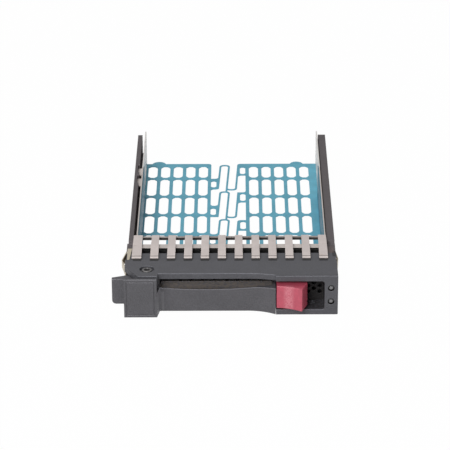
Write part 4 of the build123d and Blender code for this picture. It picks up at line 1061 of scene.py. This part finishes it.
@dataclass
class Lever(SubAssembly):
    """Release lever with its pin, clip and torsion spring."""

    pivot: Span = (-30.9 * MM, 6.0 * MM)
    head_radius: float = 1.9 * MM
    head: float = 0.9 * MM
    shank_radius: float = 1.6 * MM
    bore_radius: float = 1.05 * MM
    bore_depth: float = 3.5 * MM
    edge: float = 0.18 * MM
    wire: float = 0.22 * MM
    wire_sides: int = 10
    coil_radius: float = 2.75 * MM
    coil_turns: float = 3.5
    coil_gap: float = 0.12 * MM
    front_leg: float = 2.1 * MM
    grip_x: Span = (-25.7 * MM, 15.05 * MM)
    grip_front: Span = (3.52 * MM, 8.65 * MM)
    grip_centre: Span = (4.6 * MM, 11.85 * MM)
    grip_angle: float = math.radians(80)
    grip_steps: int = 12
    grip_thickness: float = 0.4 * MM

    def build(self) -> None:
        """Dresses and builds the lever's pieces."""
        self.dress_node("release_lever", self.finishes.lever)
        self.dress_node("pivot_pin_clip", self.finishes.wire)
        self.grip()
        self.pin()
        self.spring()

    def grip(self) -> None:
        """Builds the hollow surface behind the arm's front rim, where a finger pulls."""
        mesh = bmesh.new()
        ends = [mesh.verts.new((x, *self.grip_front)) for x in self.grip_x]
        line = mesh.edges.new(ends)
        turn = {"cent": (0, *self.grip_centre), "axis": (1, 0, 0)}
        bmesh.ops.spin(mesh, geom=[*ends, line], angle=self.grip_angle, steps=self.grip_steps, **turn)
        thicken(mesh, (0, 0, -self.grip_thickness))
        self.add("arm_grip", mesh, self.finishes.lever, Body.LEVER)

    def pin(self) -> None:
        """Builds the hollow pin with its rounded head and the groove for its clip."""
        low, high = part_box("lever_pivot_pin")
        clip_low, clip_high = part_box("pivot_pin_clip")
        top, foot = high[2], low[2]
        groove = self.bore_radius + self.edge / 2
        profile = (
            (0.0, top - self.bore_depth),
            (self.bore_radius, top - self.bore_depth),
            (self.bore_radius, top - self.edge),
            (self.bore_radius + self.edge, top),
            (self.head_radius - 2 * self.edge, top),
            (self.head_radius - self.edge / 2, top - self.edge / 2),
            (self.head_radius, top - 2 * self.edge),
            (self.head_radius, top - self.head),
            (self.shank_radius, top - self.head),
            (self.shank_radius, clip_high[2]),
            (groove, clip_high[2]),
            (groove, clip_low[2]),
            (self.shank_radius, clip_low[2]),
            (self.shank_radius - self.edge / 2, foot),
            (0.0, foot),
        )
        mesh = turned(profile, Vector((*self.pivot, 0)), Axis.Z)
        self.add("pivot_pin", mesh, self.finishes.pin, Body.CHASSIS, "lever_pivot_pin")

    def spring(self) -> None:
        """Builds the torsion spring: a round coil and its two legs."""
        low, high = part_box("lever_spring")
        pitch = 2 * self.wire + self.coil_gap
        foot = low[2] + self.wire
        coil = Coil(self.coil_radius, self.wire, self.coil_turns, pitch).build()
        bmesh.ops.translate(coil, verts=coil.verts, vec=(*self.pivot, foot))
        front = self.leg(self.coil_radius, -self.front_leg, 0, foot)
        rear = self.leg(-self.coil_radius, 0, high[1] - self.pivot[1], foot + pitch * self.coil_turns)
        mesh = joined([coil, front, rear])
        self.add("torsion_spring", mesh, self.finishes.wire, Body.CHASSIS, "lever_spring")

    def leg(self, x: float, front: float, rear: float, height: float) -> bmesh.types.BMesh:
        """Makes one straight leg of the spring, along Y.

        Args:
            x: Its place along X, from the pivot.
            front: Its front end, from the pivot.
            rear: Its rear end, from the pivot.
            height: The height of its middle.

        Returns:
            The mesh.
        """
        profile = ((0.0, front), (self.wire, front), (self.wire, rear), (0.0, rear))
        start = Vector((self.pivot[0] + x, self.pivot[1], height))
        return turned(profile, start, Axis.Y, self.wire_sides)


@dataclass
class Button(SubAssembly):
    """Release button and its return spring."""

    wire: float = 0.16 * MM
    turns: float = 6.0
    travel: float = 3.0 * MM

    def build(self) -> None:
        """Dresses the button and builds its spring."""
        self.dress_node("release_button", self.finishes.button)
        self.spring()

    def spring(self) -> None:
        """Builds the return spring, which the button shortens against the bezel's post."""
        low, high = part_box("button_spring")
        middle = (low + high) / 2
        radius = (high[2] - low[2]) / 2 - self.wire
        length = high[0] - low[0] - 2 * self.wire
        coil = Coil(radius, self.wire, self.turns, length / self.turns).build()
        lay = Matrix.Rotation(math.pi / 2, 3, "Y")
        bmesh.ops.rotate(coil, verts=coil.verts, cent=(0, 0, 0), matrix=lay)
        bmesh.ops.translate(coil, verts=coil.verts, vec=(low[0] + self.wire, middle[1], middle[2]))
        spring = self.add("return_spring", coil, self.finishes.wire, Body.CHASSIS, "button_spring")
        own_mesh(spring)


@dataclass
class SheetMetal(SubAssembly):
    """Folded frame, finger strip and the side springs."""

    tab_floor: float = 15.05 * MM
    tab_shift: float = 0.6 * MM

    def build(self) -> None:
        """Dresses and builds the metal pieces."""
        self.dress_node("steel_frame", self.finishes.frame)
        self.dress_node("finger_strip", self.finishes.fingers)
        self.dress_node("right_side_spring", self.finishes.contact)
        self.left_spring()

    def left_spring(self) -> None:
        """Builds the left side spring with its tab bent a little further over the ledge."""
        mesh = merged_copy("left_side_spring")
        tab = [vert for vert in mesh.verts if vert.co.z > self.tab_floor]
        bmesh.ops.translate(mesh, verts=tab, vec=(self.tab_shift, 0, 0))
        finish = self.finishes.contact
        self.add("left_contact_spring", mesh, finish, Body.CHASSIS, "left_side_spring", smooth=False)


@dataclass
class FilmFloor(SubAssembly):
    """The insulating film."""

    cell_corner: float = 0.8 * MM
    notch_corner: float = 1.3 * MM
    corner_segments: int = 4
    least_turn: float = math.radians(30)
    notch_turn: float = math.radians(60)
    flat_turn: float = math.radians(1)
    floor_reach: float = 34.4 * MM
    side_room: float = 2.02

    def build(self) -> None:
        """Rounds the film's cut-outs and dresses it."""
        mesh = merged_copy("floor_film")
        bmesh.ops.dissolve_limit(mesh, verts=mesh.verts, edges=mesh.edges, angle_limit=self.flat_turn)
        self.round(mesh, self.notch_corner, self.notch_turn, math.pi)
        self.round(mesh, self.cell_corner, self.least_turn, self.notch_turn)
        finish = self.finishes.film
        self.add("insulating_film", mesh, finish, Body.CHASSIS, "floor_film", smooth=False)

    def round(self, mesh: bmesh.types.BMesh, radius: float, least: float, most: float) -> None:
        """Rounds the upright corners of the floor that have room for it.

        Args:
            mesh: The film.
            radius: How far from a corner the rounding starts.
            least: The least angle that a corner turns by.
            most: The greatest.
        """
        inner = [edge for edge in mesh.edges if abs(edge.verts[0].co.x) < self.floor_reach]
        corners = [edge for edge in inner if self.is_corner(edge, radius, least, most)]
        rounding = {"segments": self.corner_segments, "profile": 0.5, "material": -1}
        bmesh.ops.bevel(mesh, geom=corners, offset=radius, affect="EDGES", **rounding)

    def is_corner(self, edge: bmesh.types.BMEdge, radius: float, least: float, most: float) -> bool:
        """Tells whether an edge is such a corner.

        Args:
            edge: The edge.
            radius: How far from it the rounding would start.
            least: The least angle that it may turn by.
            most: The greatest.

        Returns:
            True for an upright edge that turns so, between sides long enough to round.
        """
        run = edge.verts[1].co - edge.verts[0].co
        if len(edge.link_faces) != 2 or run.xy.length > COARSE_MERGE:
            return False
        sides = [side.calc_length() for vert in edge.verts for side in vert.link_edges if side != edge]
        return least < edge.calc_face_angle(0.0) < most and min(sides) > self.side_room * radius


@dataclass
class Rails(SubAssembly):
    """Both side rails, their rivets and the light pipes."""

    lens_x: float = 36.68 * MM
    lens_radius: float = 0.92 * MM
    lens_back: float = 1.15 * MM
    lens_front: float = 0.85 * MM
    lens_rise: float = 0.55 * MM
    lens_steps: int = 6
    lens_heights: dict[str, float] = field(
        default_factory=lambda: {"upper_light_pipe": 10.6 * MM, "lower_light_pipe": 5.2 * MM}
    )

    def build(self) -> None:
        """Dresses and builds the rails' pieces."""
        for side in ("left", "right"):
            self.dress_node(f"{side}_rail", self.finishes.rail)
            self.dress_node(f"{side}_rail_rivets", self.finishes.fastener)
        for node in self.lens_heights:
            self.dress_node(node, self.finishes.pipe)
            self.lens(node)

    def lens(self, node: str) -> None:
        """Builds the domed head that sits in the bezel at the front of a light pipe.

        Args:
            node: The light pipe.
        """
        profile = [(0.0, self.lens_back)]
        profile += [(self.lens_radius, self.lens_back), (self.lens_radius, self.lens_front)]
        for step in range(1, self.lens_steps + 1):
            turn = math.pi / 2 * step / self.lens_steps
            height = self.lens_front - self.lens_rise * math.sin(turn)
            profile.append((self.lens_radius * math.cos(turn), height))
        centre = Vector((self.lens_x, 0, self.lens_heights[node]))
        mesh = turned(tuple(profile), centre, Axis.Y)
        self.add(f"{node}_lens", mesh, self.finishes.lens, Body.CHASSIS)


@dataclass(frozen=True)
class Lamp:
    """A soft square lamp, by its place from the caddy's middle and its width, in metres, and its watts."""

    name: str
    place: tuple[float, float, float]
    width: float
    power: float

    def build(self, target: Vector) -> None:
        """Sets up the lamp.

        Args:
            target: The caddy's middle, which it faces.
        """
        data = bpy.data.lights.new(self.name, "AREA")
        data.size = self.width
        data.energy = self.power
        spot = target + Vector(self.place)
        facing = (target - spot).to_track_quat("-Z", "Y").to_matrix().to_4x4()
        linked(bpy.data.objects.new(self.name, data)).matrix_world = Matrix.Translation(spot) @ facing


@dataclass
class Studio:
    """Pale floor, soft lamps, even surroundings and the camera."""

    lamps: tuple[Lamp, ...] = (
        Lamp("key_lamp", (-0.28, -0.85, 0.62), 0.5, 7.5),
        Lamp("top_lamp", (-0.15, 0.4, 1.0), 0.6, 3.0),
    )
    world_light: float = 0.18
    mirrored_white: float = 0.4
    floor_reach: float = 4.0
    floor_drop: float = 0.02 * MM
    floor_paper: Colour = (0.86, 0.86, 0.86, 1.0)
    floor_roughness: float = 0.9
    floor_glow: float = 0.985
    target: Vector = field(default_factory=lambda: Vector((-2.37, 60.519, 8.0)) * MM)
    distance: float = 926.018 * MM
    elevation: float = math.radians(25.147)
    yaw: float = math.radians(-0.28)
    roll: float = math.radians(-0.293)
    focal_share: float = 2378.035 / 450
    sensor: float = 36.0
    view_reach: float = 20.0

    def build(self) -> None:
        """Sets up everything that isn't the caddy."""
        self.floor()
        self.world()
        for lamp in self.lamps:
            lamp.build(self.target)
        self.camera()

    def floor(self) -> None:
        """Builds a white floor that keeps a faint shadow."""
        mesh = bmesh.new()
        bmesh.ops.create_grid(mesh, x_segments=1, y_segments=1, size=self.floor_reach)
        bmesh.ops.translate(mesh, verts=mesh.verts, vec=(0, 0, CAD_BOX[0][2] - self.floor_drop))
        obj = placed("studio_floor", mesh)
        graph = Graph("floor_paper")
        graph.set(Base_Color=self.floor_paper, Roughness=self.floor_roughness)
        glow = graph.node("ShaderNodeEmission", inputs={"Color": WHITE, "Strength": 1.0})
        seen, mirrored, through = graph.rays("Is Camera Ray", "Is Glossy Ray", "Is Transmission Ray")
        share = seen.most(mirrored.most(through)) * self.floor_glow
        inputs = {0: share, 1: graph.shader.outputs[0], 2: glow.outputs[0]}
        shader = graph.node("ShaderNodeMixShader", inputs=inputs)
        graph.feed(graph.output.inputs["Surface"], shader.outputs[0])
        obj.data.materials.append(graph.material)

    def world(self) -> None:
        """Sets up even pale surroundings, which are white to the camera and dimmer in reflections."""
        world = bpy.data.worlds.new("studio")
        bpy.context.scene.world = world
        world.use_nodes = True
        nodes = Nodes(world.node_tree)
        light = nodes.node("ShaderNodeBackground", inputs={"Color": WHITE, "Strength": self.world_light})
        white = nodes.node("ShaderNodeBackground", inputs={"Color": WHITE, "Strength": 1.0})
        seen, mirrored = nodes.rays("Is Camera Ray", "Is Glossy Ray")
        inputs = {0: mirrored * self.mirrored_white + seen, 1: light.outputs[0], 2: white.outputs[0]}
        mix = nodes.node("ShaderNodeMixShader", inputs=inputs)
        nodes.node("ShaderNodeOutputWorld", inputs={"Surface": mix.outputs[0]})

    def camera(self) -> None:
        """Sets up the camera at the photograph's viewing angle."""
        flat = math.cos(self.elevation)
        ahead = Vector((math.sin(self.yaw) * flat, math.cos(self.yaw) * flat, -math.sin(self.elevation)))
        level = Vector((math.cos(self.yaw), -math.sin(self.yaw), 0))
        upright = level.cross(ahead)
        right = math.cos(self.roll) * level + math.sin(self.roll) * upright
        up = math.cos(self.roll) * upright - math.sin(self.roll) * level
        data = bpy.data.cameras.new("camera")
        data.sensor_width = self.sensor
        data.lens = self.focal_share * self.sensor
        data.clip_end = self.view_reach
        obj = linked(bpy.data.objects.new("camera", data))
        facing = Matrix((right, up, -ahead)).transposed().to_4x4()
        obj.matrix_world = Matrix.Translation(self.target - ahead * self.distance) @ facing
        bpy.context.scene.camera = obj


def main() -> None:
    """Dresses every sub-assembly in order, then sets up the studio."""
    logging.basicConfig(level=logging.INFO, format="%(name)s: %(message)s")
    finishes = Finishes()
    materials: dict[str, bpy.types.Material] = {}
    for assembly in (Bezel, Lever, Button, SheetMetal, FilmFloor, Rails):
        assembly(finishes, materials).build()
    Studio().build()
    bpy.context.scene.view_settings.view_transform = "Standard"


if __name__ == "__main__":
    main()
